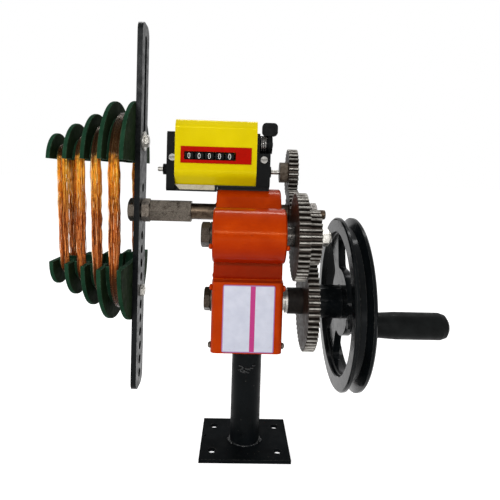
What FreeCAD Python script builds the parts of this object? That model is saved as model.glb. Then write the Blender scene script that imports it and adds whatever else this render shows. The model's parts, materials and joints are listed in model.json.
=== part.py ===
"""Hand-cranked wire coil winding machine, millimetres.

The origin is the centre of the base plate's underside.  +X runs along the shafts towards the
handwheel, +Y points away from the side that carries the label, and +Z is up.
"""
import FreeCAD, Part
import math
import os
import re

from FreeCAD import Placement, Rotation, Vector

doc = FreeCAD.newDocument("coil_winder")

# ---------------------------------------------------------------------------------------------
# Driving dimensions
# ---------------------------------------------------------------------------------------------
SIZES = {
    # base and post
    "plate_width": 100, "plate_depth": 84, "plate_thick": 4,
    "plate_hole_dia": 9, "plate_hole_gap_x": 73, "plate_hole_gap_y": 50,
    "lug_hole_dia": 3.5, "lug_hole_inset": 4,
    "post_dia": 34, "post_wall": 3.2,
    # housings
    "housing_left": -41, "housing_length": 77.5,
    "block_bottom": 118, "block_wall": 2, "block_depth": 74, "block_edge_radius": 6,
    "tube_dia": 60.3, "tube_wall": 4.15, "tube_chamfer": 1.5,
    "web_inset": 0.5, "web_front": -22, "web_rear": 34,
    # gear train
    "gear_module": 2, "drive_teeth": 54, "idler_teeth": 46, "pinion_teeth": 28,
    "pressure_angle": 20, "backlash": 0.24, "gear_face": 12,
    "idler_gap": 10, "gear_gap": 3,
    "crank_axis_z": 167.3, "middle_axis_y": -26.7, "spindle_axis_y": 44.7, "counter_axis_y": 66.5,
    "drive_hub_dia": 30, "idler_hub_dia": 40, "pinion_hub_dia": 36, "counter_hub_dia": 26,
    "counter_hub_length": 9.5,
    # shafts and bearings
    "shaft_dia": 20, "bearing_width": 15, "bearing_recess": 1, "bearing_ring_wall": 4,
    "shield_recess": 0.8, "seat_clearance": 0.04, "running_clearance": 0.06,
    "shaft_end_gap": 0.5, "end_play": 0.1, "spacer_dia": 28, "spacer_gap": 5,
    "spacer_neck_dia": 23,
    "stud_dia": 12, "end_washer_dia": 28, "end_washer_thick": 2.5,
    "end_bolt_across": 24, "crank_bolt_head": 7, "middle_bolt_head": 10, "end_bolt_shank": 10,
    "end_bolt_depth": 22,
    "middle_nut_across": 17, "middle_nut_length": 8.5, "thread_end": 3,
    "spindle_nut_across": 25, "spindle_nut_length": 8, "dog_length": 11.5, "hub_sink": 1.5,
    # arm and its fastenings
    "arm_right": -133, "arm_thick": 6.5, "arm_width": 38, "arm_top_margin": 13.9, "arm_end_margin": 17.1,
    "arm_corner": 12, "arm_bore_dia": 16.4, "arm_bolt_dia": 16, "arm_hole_dia": 11,
    "arm_hole_pitch": 17.3, "arm_first_hole": 31.4, "arm_hole_count": 11, "upper_hole_rise": 27.6,
    "slot_width": 10.6, "slot_start": 72, "slot_end": 212.6,
    "hex_across": 25, "lock_nut_length": 10.5, "coupling_length": 50, "bolt_head_length": 8,
    "bolt_washer_thick": 1.5, "bolt_washer_dia": 34,
    # winding formers and coils
    "flange_thick": 5.2, "upper_pitch": 23.8, "lower_pitch": 22.4, "channel_depth": 19,
    "former_wall": 3,
    "flange_radius_a": 31.5, "flange_radius_b": 44, "flange_radius_c": 56.2,
    "flange_radius_d": 72, "flange_radius_e": 73.2, "rim_round": 1.3,
    "upper_former_rise": 59.3, "lower_former_drop": 61.2, "upper_bolt_rise": 84.7,
    "former_slack": 5,
    "former_bolt_dia": 8, "former_bolt_across": 13, "former_head_length": 5.3,
    "former_nut_length": 4.5, "former_thread_end": 0.6, "former_washer_dia": 24,
    "former_washer_thick": 1.6,
    "coil_width": 9, "coil_build": 6, "coil_clearance": 0.3,
    # handwheel and grip
    "hub_gap": 2.5, "hub_reach": 23.4, "wheel_width": 21.5, "wheel_dia": 195, "rim_depth": 16.5,
    "groove_top": 13.4, "groove_bottom": 5.8, "groove_depth": 11, "rim_edge": 1.5,
    "disc_inset": 6.1, "disc_thick": 8.5, "hub_dia": 38,
    "window_inner": 38, "window_gap": 2, "window_count": 3, "spoke_angle": 26,
    "window_corner": 8, "crank_angle": 183.3,
    "crank_inset": 10.5, "grip_pin_dia": 10, "grip_nut_across": 17, "grip_nut_length": 8,
    "grip_collar_dia": 18, "grip_collar_stand": 1.6, "grip_gap": 0.4,
    "grip_bead_height": 0.7, "grip_bead_width": 3,
    "grip_length": 77, "grip_root_dia": 24.5, "grip_dia": 27, "grip_nose": 9, "grip_floor": 9,
    # turns counter
    "bracket_thick": 2, "bracket_gap": 1.2, "bracket_front": 27, "bracket_joggle": 3,
    "saddle_width": 24, "saddle_drop": 3, "counter_base_height": 6, "counter_base_bevel": 5.5,
    "cover_left": -91.5, "cover_right": 5.5, "cover_front": 18, "cover_rear": 92,
    "cover_top": 375, "cover_skin": 1.2, "cover_fold_radius": 6, "cover_low_radius": 16,
    "cover_top_bevel_y": 6, "cover_top_bevel_z": 8, "cover_low_bevel_y": 11, "cover_low_bevel_z": 13,
    "cheek_front": 22, "cheek_top": 360.5, "cheek_corner": 4,
    "left_cheek_thick": 10,
    "right_cheek_thick": 16.5, "right_cheek_step": 337, "right_plate_thick": 3.5,
    "right_pocket_rear": 49,
    "boss_dia": 14, "left_boss_length": 10.5, "right_boss_length": 4,
    "counter_shaft_dia": 6, "counter_stub": 6.8,
    "panel_left": -84.5, "panel_right": -0.8, "panel_bottom": 323.3, "panel_height": 19.6,
    "panel_thick": 1, "window_left": -80.3, "window_right": -19.4, "window_bottom": 327.2,
    "window_height": 9.7,
    "wheel_pitch": 12, "first_wheel": -74.8, "digit_wheel_width": 10, "digit_wheel_dia": 28,
    "digit_wheel_count": 5, "digit_wheel_gap": 0.6, "digit_axle_dia": 5,
    "reset_axis_y": 34, "reset_axis_z": 348.5, "reset_hub_dia": 22, "reset_hub_left": 19,
    "reset_hub_thick": 5, "reset_sleeve_dia": 16, "reset_pin_dia": 6,
    "reset_blade_left": 11.5, "reset_blade_width": 19, "reset_blade_bottom": 358.8,
    "reset_blade_height": 16, "reset_blade_thick": 6, "reset_blade_corner": 5,
    "spring_wire_dia": 1.6, "spring_turns": 3, "spring_pitch": 2.4, "spring_grip": 0.1,
    "screw_head_dia": 8.5, "screw_head_height": 2.2, "screw_shank_dia": 4, "screw_shank": 8,
    "left_screw_x": -94.5, "right_screw_x": 14.3, "screw_z": 329.5,
}

# Values worked out from the driving dimensions
DERIVED = {
    "housing_right": "housing_left + housing_length",
    "idler_plane": "housing_right + idler_gap",
    "drive_plane": "idler_plane + gear_face + gear_gap",
    "spacer_start": "housing_right + spacer_gap",
    "spindle_nut_start": "drive_plane + gear_face - hub_sink",
    "tube_radius": "tube_dia / 2",
    "shaft_radius": "shaft_dia / 2",
    "pitch_drive": "gear_module * drive_teeth / 2",
    "pitch_idler": "gear_module * idler_teeth / 2",
    "pitch_pinion": "gear_module * pinion_teeth / 2",
    "middle_axis_z": "crank_axis_z + sqrt((pitch_drive + pitch_pinion) ^ 2 - middle_axis_y ^ 2)",
    "spindle_axis_z": "middle_axis_z + sqrt((pitch_idler + pitch_pinion) ^ 2"
                      " - (spindle_axis_y - middle_axis_y) ^ 2)",
    "counter_axis_z": "spindle_axis_z + sqrt((2 * pitch_pinion) ^ 2"
                      " - (counter_axis_y - spindle_axis_y) ^ 2)",
    "shaft_left": "housing_left - shaft_end_gap",
    "bore_radius": "tube_radius - tube_wall",
    "block_top": "crank_axis_z + bore_radius + block_wall",
    "bearing_outer": "bore_radius - seat_clearance",
    "bearing_inner": "shaft_radius + running_clearance",
    "left_bearing": "housing_left + bearing_recess",
    "right_bearing": "housing_right - bearing_recess - bearing_width",
    "left_race": "left_bearing - end_play",
    "right_race": "right_bearing + bearing_width + end_play",
    "arm_left": "arm_right - arm_thick",
    "arm_top": "spindle_axis_z + slot_end + arm_top_margin",
    "arm_bottom": "spindle_axis_z - arm_first_hole - (arm_hole_count - 1) * arm_hole_pitch"
                  " - arm_end_margin",
    "coupling_right": "arm_right + lock_nut_length + coupling_length",
    "upper_flat": "spindle_axis_z + upper_former_rise",
    "lower_flat": "spindle_axis_z - lower_former_drop",
    "upper_bolt_z": "spindle_axis_z + upper_bolt_rise",
    "lower_bolt_z": "spindle_axis_z - arm_first_hole - 4 * arm_hole_pitch",
    "last_flange": "arm_left - flange_thick",
    "hub_left": "drive_plane + gear_face + hub_gap",
    "wheel_left": "hub_left + hub_reach",
    "wheel_right": "wheel_left + wheel_width",
    "wheel_radius": "wheel_dia / 2",
    "disc_left": "wheel_left + disc_inset",
    "disc_right": "disc_left + disc_thick",
    "crank_radius": "wheel_radius - rim_depth - crank_inset",
    "grip_collar_end": "wheel_right + grip_collar_stand",
    "crank_pin_y": "crank_radius * cos(crank_angle)",
    "crank_pin_z": "crank_axis_z + crank_radius * sin(crank_angle)",
    "bracket_bottom": "spindle_axis_z + tube_radius + bracket_gap",
    "bracket_top": "bracket_bottom + bracket_thick",
    "base_bottom": "bracket_top - counter_base_height",
    "base_right": "housing_left - bracket_joggle",
    "cover_inner_radius": "cover_fold_radius - cover_skin",
    "cover_low_inner_radius": "cover_low_radius - cover_skin",
    "digit_axis_y": "cover_front + cover_skin + digit_wheel_gap + digit_wheel_dia / 2",
    "digit_axis_z": "window_bottom + window_height / 2",
}
ANGLES = ("crank_angle",)


def fill_sheet(name, cells):
    """A spreadsheet with one named cell per line."""
    sheet = doc.addObject("Spreadsheet::Sheet", name)
    for row, (alias, text) in enumerate(cells, start=1):
        sheet.set("A%d" % row, alias)
        sheet.set("B%d" % row, text)
        sheet.setAlias("B%d" % row, alias)
    doc.recompute()
    return sheet


def qualified(expression):
    """Put the sheet's name before each size that an expression names."""
    def owner(match):
        word = match.group(0)
        if word in SIZES:
            return "sizes." + word + (" * 1 deg" if word in ANGLES else "")
        return "derived." + word if word in DERIVED else word
    return re.sub(r"[a-z][a-z_0-9]*", owner, str(expression))


sizes = fill_sheet("sizes", [(alias, str(value)) for alias, value in SIZES.items()])


def derived_text(expression):
    def owner(match):
        word = match.group(0)
        if word in SIZES:
            return "sizes." + word + (" * 1 deg" if word in ANGLES else "")
        return word
    return "=" + re.sub(r"[a-z][a-z_0-9]*", owner, expression)


derived = fill_sheet("derived", [(alias, derived_text(text)) for alias, text in DERIVED.items()])


def value(name):
    """A size as a plain number, for shapes that are made from points."""
    sheet = sizes if name in SIZES else derived
    return float(getattr(sheet, name))


# ---------------------------------------------------------------------------------------------
# Building blocks
# ---------------------------------------------------------------------------------------------
ALONG_X = Rotation(Vector(0, 1, 0), 90)
ALONG_Y = Rotation(Vector(1, 0, 0), -90)
UPRIGHT = Rotation()
nodes = []


def bind(obj, **expressions):
    for prop, expression in expressions.items():
        obj.setExpression(prop, qualified(expression))
    return obj


def place(obj, x=0, y=0, z=0, rotation=UPRIGHT):
    obj.Placement = Placement(Vector(), rotation)
    for axis, expression in zip("xyz", (x, y, z)):
        obj.setExpression("Placement.Base." + axis, qualified(expression))
    return obj


def node(name, obj):
    """Name a finished piece, which is written to a file of that name."""
    obj.Label = name
    nodes.append(obj)
    return obj


def box(name, low, high):
    obj = doc.addObject("Part::Box", name)
    spans = ["(%s) - (%s)" % (b, a) for a, b in zip(low, high)]
    bind(obj, Length=spans[0], Width=spans[1], Height=spans[2])
    return place(obj, *low)


def cylinder(name, radius, length, x=0, y=0, z=0, rotation=UPRIGHT):
    obj = doc.addObject("Part::Cylinder", name)
    bind(obj, Radius=radius, Height=length)
    return place(obj, x, y, z, rotation)


def rod(name, start, end, radius, y, z):
    """A round bar along X."""
    return cylinder(name, radius, "(%s) - (%s)" % (end, start), start, y, z, ALONG_X)


def hex_bar(name, start, end, across, y, z):
    """A six-sided bar along X, given by the size across its flats."""
    obj = doc.addObject("Part::Prism", name)
    obj.Polygon = 6
    bind(obj, Circumradius="(%s) / sqrt(3)" % across, Height="(%s) - (%s)" % (end, start))
    return place(obj, start, y, z, ALONG_X)


def cut(name, base, *tools):
    obj = doc.addObject("Part::Cut", name)
    obj.Base = base
    obj.Tool = tools[0] if len(tools) == 1 else fuse(name + "_tools", *tools)
    return obj


def fuse(name, *parts):
    obj = doc.addObject("Part::MultiFuse", name)
    obj.Shapes = list(parts)
    return obj


def common(name, *parts):
    obj = doc.addObject("Part::MultiCommon", name)
    obj.Shapes = list(parts)
    return obj


def group(name, *parts):
    """Several separate solids that share one node."""
    obj = doc.addObject("Part::Compound", name)
    obj.Links = list(parts)
    return obj


def rounded(name, base, radius, chosen, kind="Part::Fillet"):
    """Round, or bevel, the edges of a piece that the test picks."""
    doc.recompute()
    obj = doc.addObject(kind, name)
    obj.Base = base
    size = value(radius)
    picked = [i for i, edge in enumerate(base.Shape.Edges, start=1) if chosen(edge)]
    obj.Edges = [(index, size, size) for index in picked]
    return obj


def parallel_to(direction):
    """A test for straight edges that run along a direction."""
    def chosen(edge):
        if not isinstance(edge.Curve, Part.Line):
            return False
        return edge.Curve.Direction.cross(direction).Length < 1e-6
    return chosen


def origin_feature(body, role):
    return [f for f in body.Origin.OriginFeatures if f.Role == role][0]


def polygon_sketch(body, name, points, plane="XY_Plane"):
    """A closed outline whose corners are each bound to a pair of expressions."""
    sketch = body.newObject("Sketcher::SketchObject", name)
    sketch.AttachmentSupport = [(origin_feature(body, plane), "")]
    sketch.MapMode = "FlatFace"
    corners = [Vector(evaluate(x), evaluate(y), 0) for x, y in points]
    count = len(corners)
    for i in range(count):
        sketch.addGeometry(Part.LineSegment(corners[i], corners[(i + 1) % count]), False)
    import Sketcher
    for i in range(count):
        sketch.addConstraint(Sketcher.Constraint("Coincident", i, 2, (i + 1) % count, 1))
    for i, (x, y) in enumerate(points):
        for kind, expression, number in (("DistanceX", x, corners[i].x), ("DistanceY", y, corners[i].y)):
            if str(expression) == "0":
                line = -2 if kind == "DistanceX" else -1
                sketch.addConstraint(Sketcher.Constraint("PointOnObject", i, 1, line))
                continue
            index = sketch.addConstraint(Sketcher.Constraint(kind, -1, 1, i, 1, number))
            sketch.setExpression("Constraints[%d]" % index, qualified(expression))
    return sketch


def evaluate(expression):
    """The present value of an expression of sizes."""
    def number(match):
        word = match.group(0)
        return repr(value(word)) if word in SIZES or word in DERIVED else word
    text = re.sub(r"[a-z][a-z_0-9]*", number, str(expression))
    holder = doc.getObject("holder") or doc.addObject("App::FeaturePython", "holder")
    if not hasattr(holder, "Result"):
        holder.addProperty("App::PropertyFloat", "Result")
    holder.setExpression("Result", text)
    holder.recompute()
    return float(holder.Result)


def turned(name, points, y=0, z=0, angle=360):
    """A piece turned about an axis along X, from an outline of (x, radius) corners."""
    body = doc.addObject("PartDesign::Body", name)
    sketch = polygon_sketch(body, name + "_outline", points)
    revolution = body.newObject("PartDesign::Revolution", name + "_turned")
    revolution.Profile = sketch
    revolution.ReferenceAxis = (sketch, ["H_Axis"])
    revolution.Angle = angle
    sketch.Visibility = False
    return place(body, 0, y, z)


def extruded(name, points, start, end):
    """A bar along X with an outline of (y, z) corners."""
    body = doc.addObject("PartDesign::Body", name)
    sketch = polygon_sketch(body, name + "_outline", points, "YZ_Plane")
    pad = body.newObject("PartDesign::Pad", name + "_pad")
    pad.Profile = sketch
    bind(pad, Length="(%s) - (%s)" % (end, start))
    return place(body, start, 0, 0)


def ring(name, start, end, outer, inner, y, z):
    points = [(start, inner), (end, inner), (end, outer), (start, outer)]
    return turned(name, points, y, z)


def chamfered_hex(name, start, end, across, y, z, bore=None):
    """A nut or bolt head with its corners turned off at both ends."""
    bar = hex_bar(name + "_hex", start, end, across, y, z)
    corner = "(%s) / sqrt(3)" % across
    flat = "(%s) / 2 * 0.97" % across
    slope = "(%s - %s) * 0.5" % (corner, flat)
    outline = [(start, 0), (start, flat), ("(%s) + %s" % (start, slope), corner),
               ("(%s) - %s" % (end, slope), corner), (end, flat), (end, 0)]
    blank = turned(name + "_blank", outline, y, z)
    solid = common(name + "_solid", bar, blank)
    if bore is None:
        return solid
    return cut(name, solid, rod(name + "_bore", start, end, bore, y, z))


CRANK = (0, "crank_axis_z")
MIDDLE = ("middle_axis_y", "middle_axis_z")
SPINDLE = ("spindle_axis_y", "spindle_axis_z")
COUNTER = ("counter_axis_y", "counter_axis_z")


# ---------------------------------------------------------------------------------------------
# Base plate and post
# ---------------------------------------------------------------------------------------------
def base_plate():
    slab = box("plate_slab", ("-plate_width / 2", "-plate_depth / 2", 0),
               ("plate_width / 2", "plate_depth / 2", "plate_thick"))
    holes = [cylinder("plate_hole_%d%d" % (i, j), "plate_hole_dia / 2", "plate_thick",
                      "%d * plate_hole_gap_x / 2" % i, "%d * plate_hole_gap_y / 2" % j)
             for i in (-1, 1) for j in (-1, 1)]
    lug = cylinder("plate_lug_hole", "lug_hole_dia / 2", "plate_thick",
                   "lug_hole_inset - plate_width / 2", "lug_hole_inset")
    node("base_plate", cut("base_plate", slab, lug, *holes))


def post_pipe():
    outer = cylinder("post_outer", "post_dia / 2", "block_bottom - plate_thick", z="plate_thick")
    inner = cylinder("post_inner", "post_dia / 2 - post_wall", "block_bottom - plate_thick",
                     z="plate_thick")
    node("post_pipe", cut("post_pipe", outer, inner))


# ---------------------------------------------------------------------------------------------
# Bearing housings
# ---------------------------------------------------------------------------------------------
def crank_housing():
    block = box("crank_block", ("housing_left", "-block_depth / 2", "block_bottom"),
                ("housing_right", "block_depth / 2", "block_top"))
    softened = rounded("crank_block_rounded", block, "block_edge_radius",
                       parallel_to(Vector(0, 0, 1)))
    bore = rod("crank_bore", "housing_left", "housing_right", "bore_radius", *CRANK)
    node("crank_housing", cut("crank_housing", softened, bore))


def tube_housing(name, axis):
    left, right, bevel = "housing_left", "housing_right", "tube_chamfer"
    outline = [(left, "bore_radius"), (right, "bore_radius"), (right, "tube_radius - tube_chamfer"),
               ("%s - %s" % (right, bevel), "tube_radius"), ("%s + %s" % (left, bevel), "tube_radius"),
               (left, "tube_radius - tube_chamfer")]
    node(name, turned(name, outline, *axis))


def housing_saddle():
    """The welded web that ties the two tubes to the block."""
    outline = [("web_front", "block_top"), ("web_rear", "block_top"),
               ("spindle_axis_y", "spindle_axis_z - tube_radius / 2"),
               ("spindle_axis_y - tube_radius / 2", "spindle_axis_z"),
               ("middle_axis_y + tube_radius / 2", "middle_axis_z + tube_radius / 3"),
               ("web_front", "middle_axis_z")]
    web = extruded("saddle_web", outline, "housing_left + web_inset", "housing_right - web_inset")
    clear = [rod("saddle_%s" % name, "housing_left", "housing_right", "tube_radius", *axis)
             for name, axis in (("middle", MIDDLE), ("spindle", SPINDLE))]
    node("housing_saddle", cut("housing_saddle", web, *clear))


def bearing_pair(name, axis):
    """Two sealed ball bearings, one at each end of a housing."""
    rings = []
    for side, start in (("left", "left_bearing"), ("right", "right_bearing")):
        end = start + " + bearing_width"
        outer_lip = "bearing_outer - bearing_ring_wall"
        inner_lip = "bearing_inner + bearing_ring_wall"
        outline = [(start, "bearing_inner"), (end, "bearing_inner"), (end, inner_lip),
                   (end + " - shield_recess", inner_lip), (end + " - shield_recess", outer_lip),
                   (end, outer_lip), (end, "bearing_outer"), (start, "bearing_outer"),
                   (start, outer_lip), (start + " + shield_recess", outer_lip),
                   (start + " + shield_recess", inner_lip), (start, inner_lip)]
        rings.append(turned("%s_%s" % (name, side), outline, *axis))
    node(name, group(name, *rings))


# ---------------------------------------------------------------------------------------------
# Gears
# ---------------------------------------------------------------------------------------------
def involute_point(base, radius, turn, side):
    """A point of an involute flank at a radius, mirrored by side about the tooth's centre."""
    roll = math.sqrt(max((radius / base) ** 2 - 1, 0))
    angle = turn + side * (roll - math.atan(roll))
    return Vector(0, radius * math.cos(angle), radius * math.sin(angle))


def gear_outline(teeth, phase):
    """The toothed outline in the YZ plane, with a tooth centred at the phase angle."""
    module, pressure = value("gear_module"), math.radians(value("pressure_angle"))
    pitch = module * teeth / 2
    base, tip, root = pitch * math.cos(pressure), pitch + module, pitch - 1.25 * module
    half = math.pi / (2 * teeth) - value("backlash") / (4 * pitch)
    start = half + math.tan(pressure) - pressure
    flank = [max(base, root) + (tip - max(base, root)) * step / 3 for step in (0, 1, 2, 3)]
    points = []
    for tooth in range(teeth):
        centre = phase + 2 * math.pi * tooth / teeth
        rising = [involute_point(base, r, centre - start, 1) for r in flank]
        falling = [involute_point(base, r, centre + start, -1) for r in reversed(flank)]
        foot = [Vector(0, root * math.cos(a), root * math.sin(a))
                for a in (centre - start, centre + start)]
        points += [foot[0]] + rising + falling + [foot[1]]
    return Part.makePolygon(points + [points[0]])


def gear(name, teeth, phase, start, axis, hubs, bore):
    """A spur gear with turned hubs, each (start, end, diameter), and a bore along its axis."""
    face = value("gear_face")
    blank = Part.Face(gear_outline(teeth, phase)).extrude(Vector(face, 0, 0))
    blank.translate(Vector(start, 0, 0))
    along = Vector(1, 0, 0)
    for left, right, diameter in hubs:
        hub = Part.makeCylinder(diameter / 2, right - left, Vector(left, 0, 0), along)
        blank = blank.fuse(hub)
    low = min([start] + [hub[0] for hub in hubs])
    high = max([start + face] + [hub[1] for hub in hubs])
    hole = Part.makeCylinder(bore / 2, high - low, Vector(low, 0, 0), along)
    obj = doc.addObject("Part::Feature", name)
    obj.Shape = blank.cut(hole).removeSplitter()
    obj.Placement = Placement(Vector(0, axis[0], axis[1]), Rotation())
    node(name, obj)


def centre_of(axis):
    return tuple(value(part) if isinstance(part, str) else part for part in axis)


def meshing_phase(driver_teeth, driver_phase, driver_centre, teeth, centre):
    """The phase that puts a gap of the driven gear on a tooth of its driver."""
    toward = math.atan2(centre[1] - driver_centre[1], centre[0] - driver_centre[0])
    used = driver_teeth * (toward - driver_phase) / (2 * math.pi)
    return toward + math.pi - (0.5 - used) * 2 * math.pi / teeth


def gear_train():
    drive, idler, pinion = (int(value(n)) for n in ("drive_teeth", "idler_teeth", "pinion_teeth"))
    crank, middle = centre_of(CRANK), centre_of(MIDDLE)
    spindle, counter = centre_of(SPINDLE), centre_of(COUNTER)
    drive_x, idler_x, face = value("drive_plane"), value("idler_plane"), value("gear_face")
    bore = value("shaft_dia") + 2 * value("seat_clearance")
    spacer_end = value("spacer_start") + 3

    gear("drive_gear", drive, 0, drive_x, crank,
         [(spacer_end, drive_x, value("drive_hub_dia"))], bore)
    pinion_phase = meshing_phase(drive, 0, crank, pinion, middle)
    gear("idler_pinion", pinion, pinion_phase, drive_x, middle,
         [(idler_x + face, drive_x, value("idler_hub_dia"))], bore)
    gear("idler_gear", idler, 0, idler_x, middle, [], bore)
    spindle_phase = meshing_phase(idler, 0, middle, pinion, spindle)
    gear("spindle_gear", pinion, spindle_phase, idler_x, spindle,
         [(idler_x + face, value("spindle_nut_start"), value("pinion_hub_dia"))], bore)
    counter_phase = meshing_phase(pinion, spindle_phase, spindle, pinion, counter)
    gear("counter_gear", pinion, counter_phase, idler_x, counter,
         [(idler_x - value("counter_hub_length"), idler_x, value("counter_hub_dia"))],
         value("counter_shaft_dia") + 2 * value("seat_clearance"))


# ---------------------------------------------------------------------------------------------
# Shafts and what is on them
# ---------------------------------------------------------------------------------------------
def end_bolt(name, axis, head_length):
    """A hex bolt and its washer, which hold the left end of a shaft."""
    face = "shaft_left"
    washer_left = face + " - end_washer_thick"
    washer = ring(name + "_washer", washer_left, face, "end_washer_dia / 2", "end_bolt_shank / 2", *axis)
    lip = ring(name + "_lip", face, "left_race", "end_washer_dia / 2", "shaft_radius + seat_clearance",
               *axis)
    head = chamfered_hex(name + "_head", washer_left + " - " + head_length, washer_left,
                         "end_bolt_across", *axis)
    shank = rod(name + "_shank", washer_left, face + " + end_bolt_depth", "end_bolt_shank / 2", *axis)
    node(name, fuse(name, washer, lip, head, shank))


def tapped_shaft(name, outline, axis):
    bar = turned(name + "_bar", outline, *axis)
    tapping = rod(name + "_tapping", "shaft_left", "shaft_left + end_bolt_depth + 3",
                  "end_bolt_shank / 2 + seat_clearance", *axis)
    node(name, cut(name, bar, tapping))


def crank_shaft():
    outline = [("shaft_left", 0), ("shaft_left", "shaft_radius"), ("wheel_right - 1", "shaft_radius"),
               ("wheel_right", "shaft_radius - 1"), ("wheel_right", 0)]
    tapped_shaft("crank_shaft", outline, CRANK)
    end_bolt("crank_end_bolt", CRANK, "crank_bolt_head")
    bore, end = "shaft_radius + seat_clearance", "spacer_start + 3"
    neck = "spacer_neck_dia / 2"
    spacer = [("right_race", bore), (end, bore), (end, "spacer_dia / 2"),
              ("spacer_start", "spacer_dia / 2"), ("spacer_start", neck), ("right_race", neck)]
    node("crank_spacer", turned("crank_spacer", spacer, *CRANK))


def middle_shaft():
    shoulder = "drive_plane + gear_face - 0.5"
    nut_start = "drive_plane + gear_face + end_washer_thick"
    tip = nut_start + " + middle_nut_length + thread_end"
    outline = [("shaft_left", 0), ("shaft_left", "shaft_radius"), (shoulder, "shaft_radius"),
               (shoulder, "stud_dia / 2"), (tip + " - 1", "stud_dia / 2"),
               (tip, "stud_dia / 2 - 1"), (tip, 0)]
    tapped_shaft("middle_shaft", outline, MIDDLE)
    end_bolt("middle_end_bolt", MIDDLE, "middle_bolt_head")
    node("middle_spacer", ring("middle_spacer", "right_race", "idler_plane", "spacer_neck_dia / 2",
                               "shaft_radius + seat_clearance", *MIDDLE))
    washer = ring("middle_washer", "drive_plane + gear_face", nut_start, "end_washer_dia / 2",
                  "stud_dia / 2 + seat_clearance", *MIDDLE)
    nut = chamfered_hex("middle_nut_hex", nut_start, nut_start + " + middle_nut_length",
                        "middle_nut_across", *MIDDLE, "stud_dia / 2 + seat_clearance")
    node("middle_nut", group("middle_nut", washer, nut))


def spindle_shaft():
    nut_end = "spindle_nut_start + end_washer_thick + spindle_nut_length"
    thread_left = "arm_right + lock_nut_length + coupling_length / 2"
    tip = nut_end + " + dog_length"
    outline = [(thread_left, 0), (thread_left, "arm_bolt_dia / 2"),
               ("coupling_right", "arm_bolt_dia / 2"), ("coupling_right", "shaft_radius"),
               ("spindle_nut_start - 0.5", "shaft_radius"), ("spindle_nut_start - 0.5", "arm_bolt_dia / 2"),
               (nut_end, "arm_bolt_dia / 2"), (nut_end, "stud_dia / 2"),
               (tip + " - 1", "stud_dia / 2"), (tip, "stud_dia / 2 - 1"), (tip, 0)]
    node("spindle_shaft", turned("spindle_shaft", outline, *SPINDLE))
    thread = "arm_bolt_dia / 2 + seat_clearance"
    washer = ring("spindle_washer", "spindle_nut_start", "spindle_nut_start + end_washer_thick",
                  "end_washer_dia / 2", thread, *SPINDLE)
    nut = chamfered_hex("spindle_nut_hex", "spindle_nut_start + end_washer_thick", nut_end,
                        "spindle_nut_across", *SPINDLE, thread)
    node("spindle_nut", group("spindle_nut", washer, nut))
    node("spindle_spacer", ring("spindle_spacer", "right_race", "idler_plane",
                                "spacer_neck_dia / 2", "shaft_radius + seat_clearance", *SPINDLE))
    collar = ring("spindle_collar", "housing_left - 2", "left_race", "spacer_neck_dia / 2",
                  "shaft_radius + seat_clearance", *SPINDLE)
    node("spindle_collar", collar)


def arm_fastenings():
    """The long coupling nut, the lock nut and the bolt that clamp the arm to the spindle."""
    thread = "arm_bolt_dia / 2 + seat_clearance"
    lock_end = "arm_right + lock_nut_length"
    coupling = hex_bar("coupling_bar", lock_end, "coupling_right", "hex_across", *SPINDLE)
    coupling.Placement.Rotation = Rotation(Vector(1, 0, 0), 30).multiply(ALONG_X)
    node("coupling_nut", cut("coupling_nut", coupling,
                             rod("coupling_bore", lock_end, "coupling_right", thread, *SPINDLE)))
    lock = chamfered_hex("arm_lock_nut_hex", "arm_right", lock_end, "hex_across", *SPINDLE, thread)
    node("arm_lock_nut", lock)
    washer_left = "arm_left - bolt_washer_thick"
    washer = ring("arm_bolt_washer", washer_left, "arm_left", "bolt_washer_dia / 2",
                  "arm_bolt_dia / 2", *SPINDLE)
    head = chamfered_hex("arm_bolt_head", washer_left + " - bolt_head_length", washer_left,
                         "hex_across", *SPINDLE)
    shank = rod("arm_bolt_shank", washer_left, lock_end + " + coupling_length / 2 - 1",
                "arm_bolt_dia / 2", *SPINDLE)
    node("arm_bolt", fuse("arm_bolt", washer, head, shank))


# ---------------------------------------------------------------------------------------------
# Winding arm, formers and coils
# ---------------------------------------------------------------------------------------------
def winding_arm():
    """The slotted and drilled flat bar that carries the two formers."""
    bar = box("arm_bar", ("arm_left", "spindle_axis_y - arm_width / 2", "arm_bottom"),
              ("arm_right", "spindle_axis_y + arm_width / 2", "arm_top"))
    cornered = rounded("arm_cornered", bar, "arm_corner", parallel_to(Vector(1, 0, 0)))

    def drilling(name, rise, diameter):
        return rod(name, "arm_left", "arm_right", diameter + " / 2", "spindle_axis_y",
                   "spindle_axis_z + " + rise)

    row = ["-arm_first_hole - %d * arm_hole_pitch" % i for i in range(int(value("arm_hole_count")))]
    tools = [drilling("arm_hole_%d" % i, "(%s)" % rise, "arm_hole_dia") for i, rise in enumerate(row)]
    tools.append(drilling("arm_upper_hole", "upper_hole_rise", "arm_hole_dia"))
    tools.append(drilling("arm_centre_hole", "0", "arm_bore_dia"))
    tools.append(drilling("arm_slot_low", "slot_start + slot_width / 2", "slot_width"))
    tools.append(drilling("arm_slot_high", "slot_end - slot_width / 2", "slot_width"))
    tools.append(box("arm_slot_middle",
                     ("arm_left", "spindle_axis_y - slot_width / 2",
                      "spindle_axis_z + slot_start + slot_width / 2"),
                     ("arm_right", "spindle_axis_y + slot_width / 2",
                      "spindle_axis_z + slot_end - slot_width / 2")))
    node("winding_arm", cut("winding_arm", cornered, *tools))


FLANGES = ["flange_radius_" + letter for letter in "abcde"]


def flange_left(index, pitch):
    return "last_flange - %d * %s" % (len(FLANGES) - 1 - index, pitch)


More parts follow.
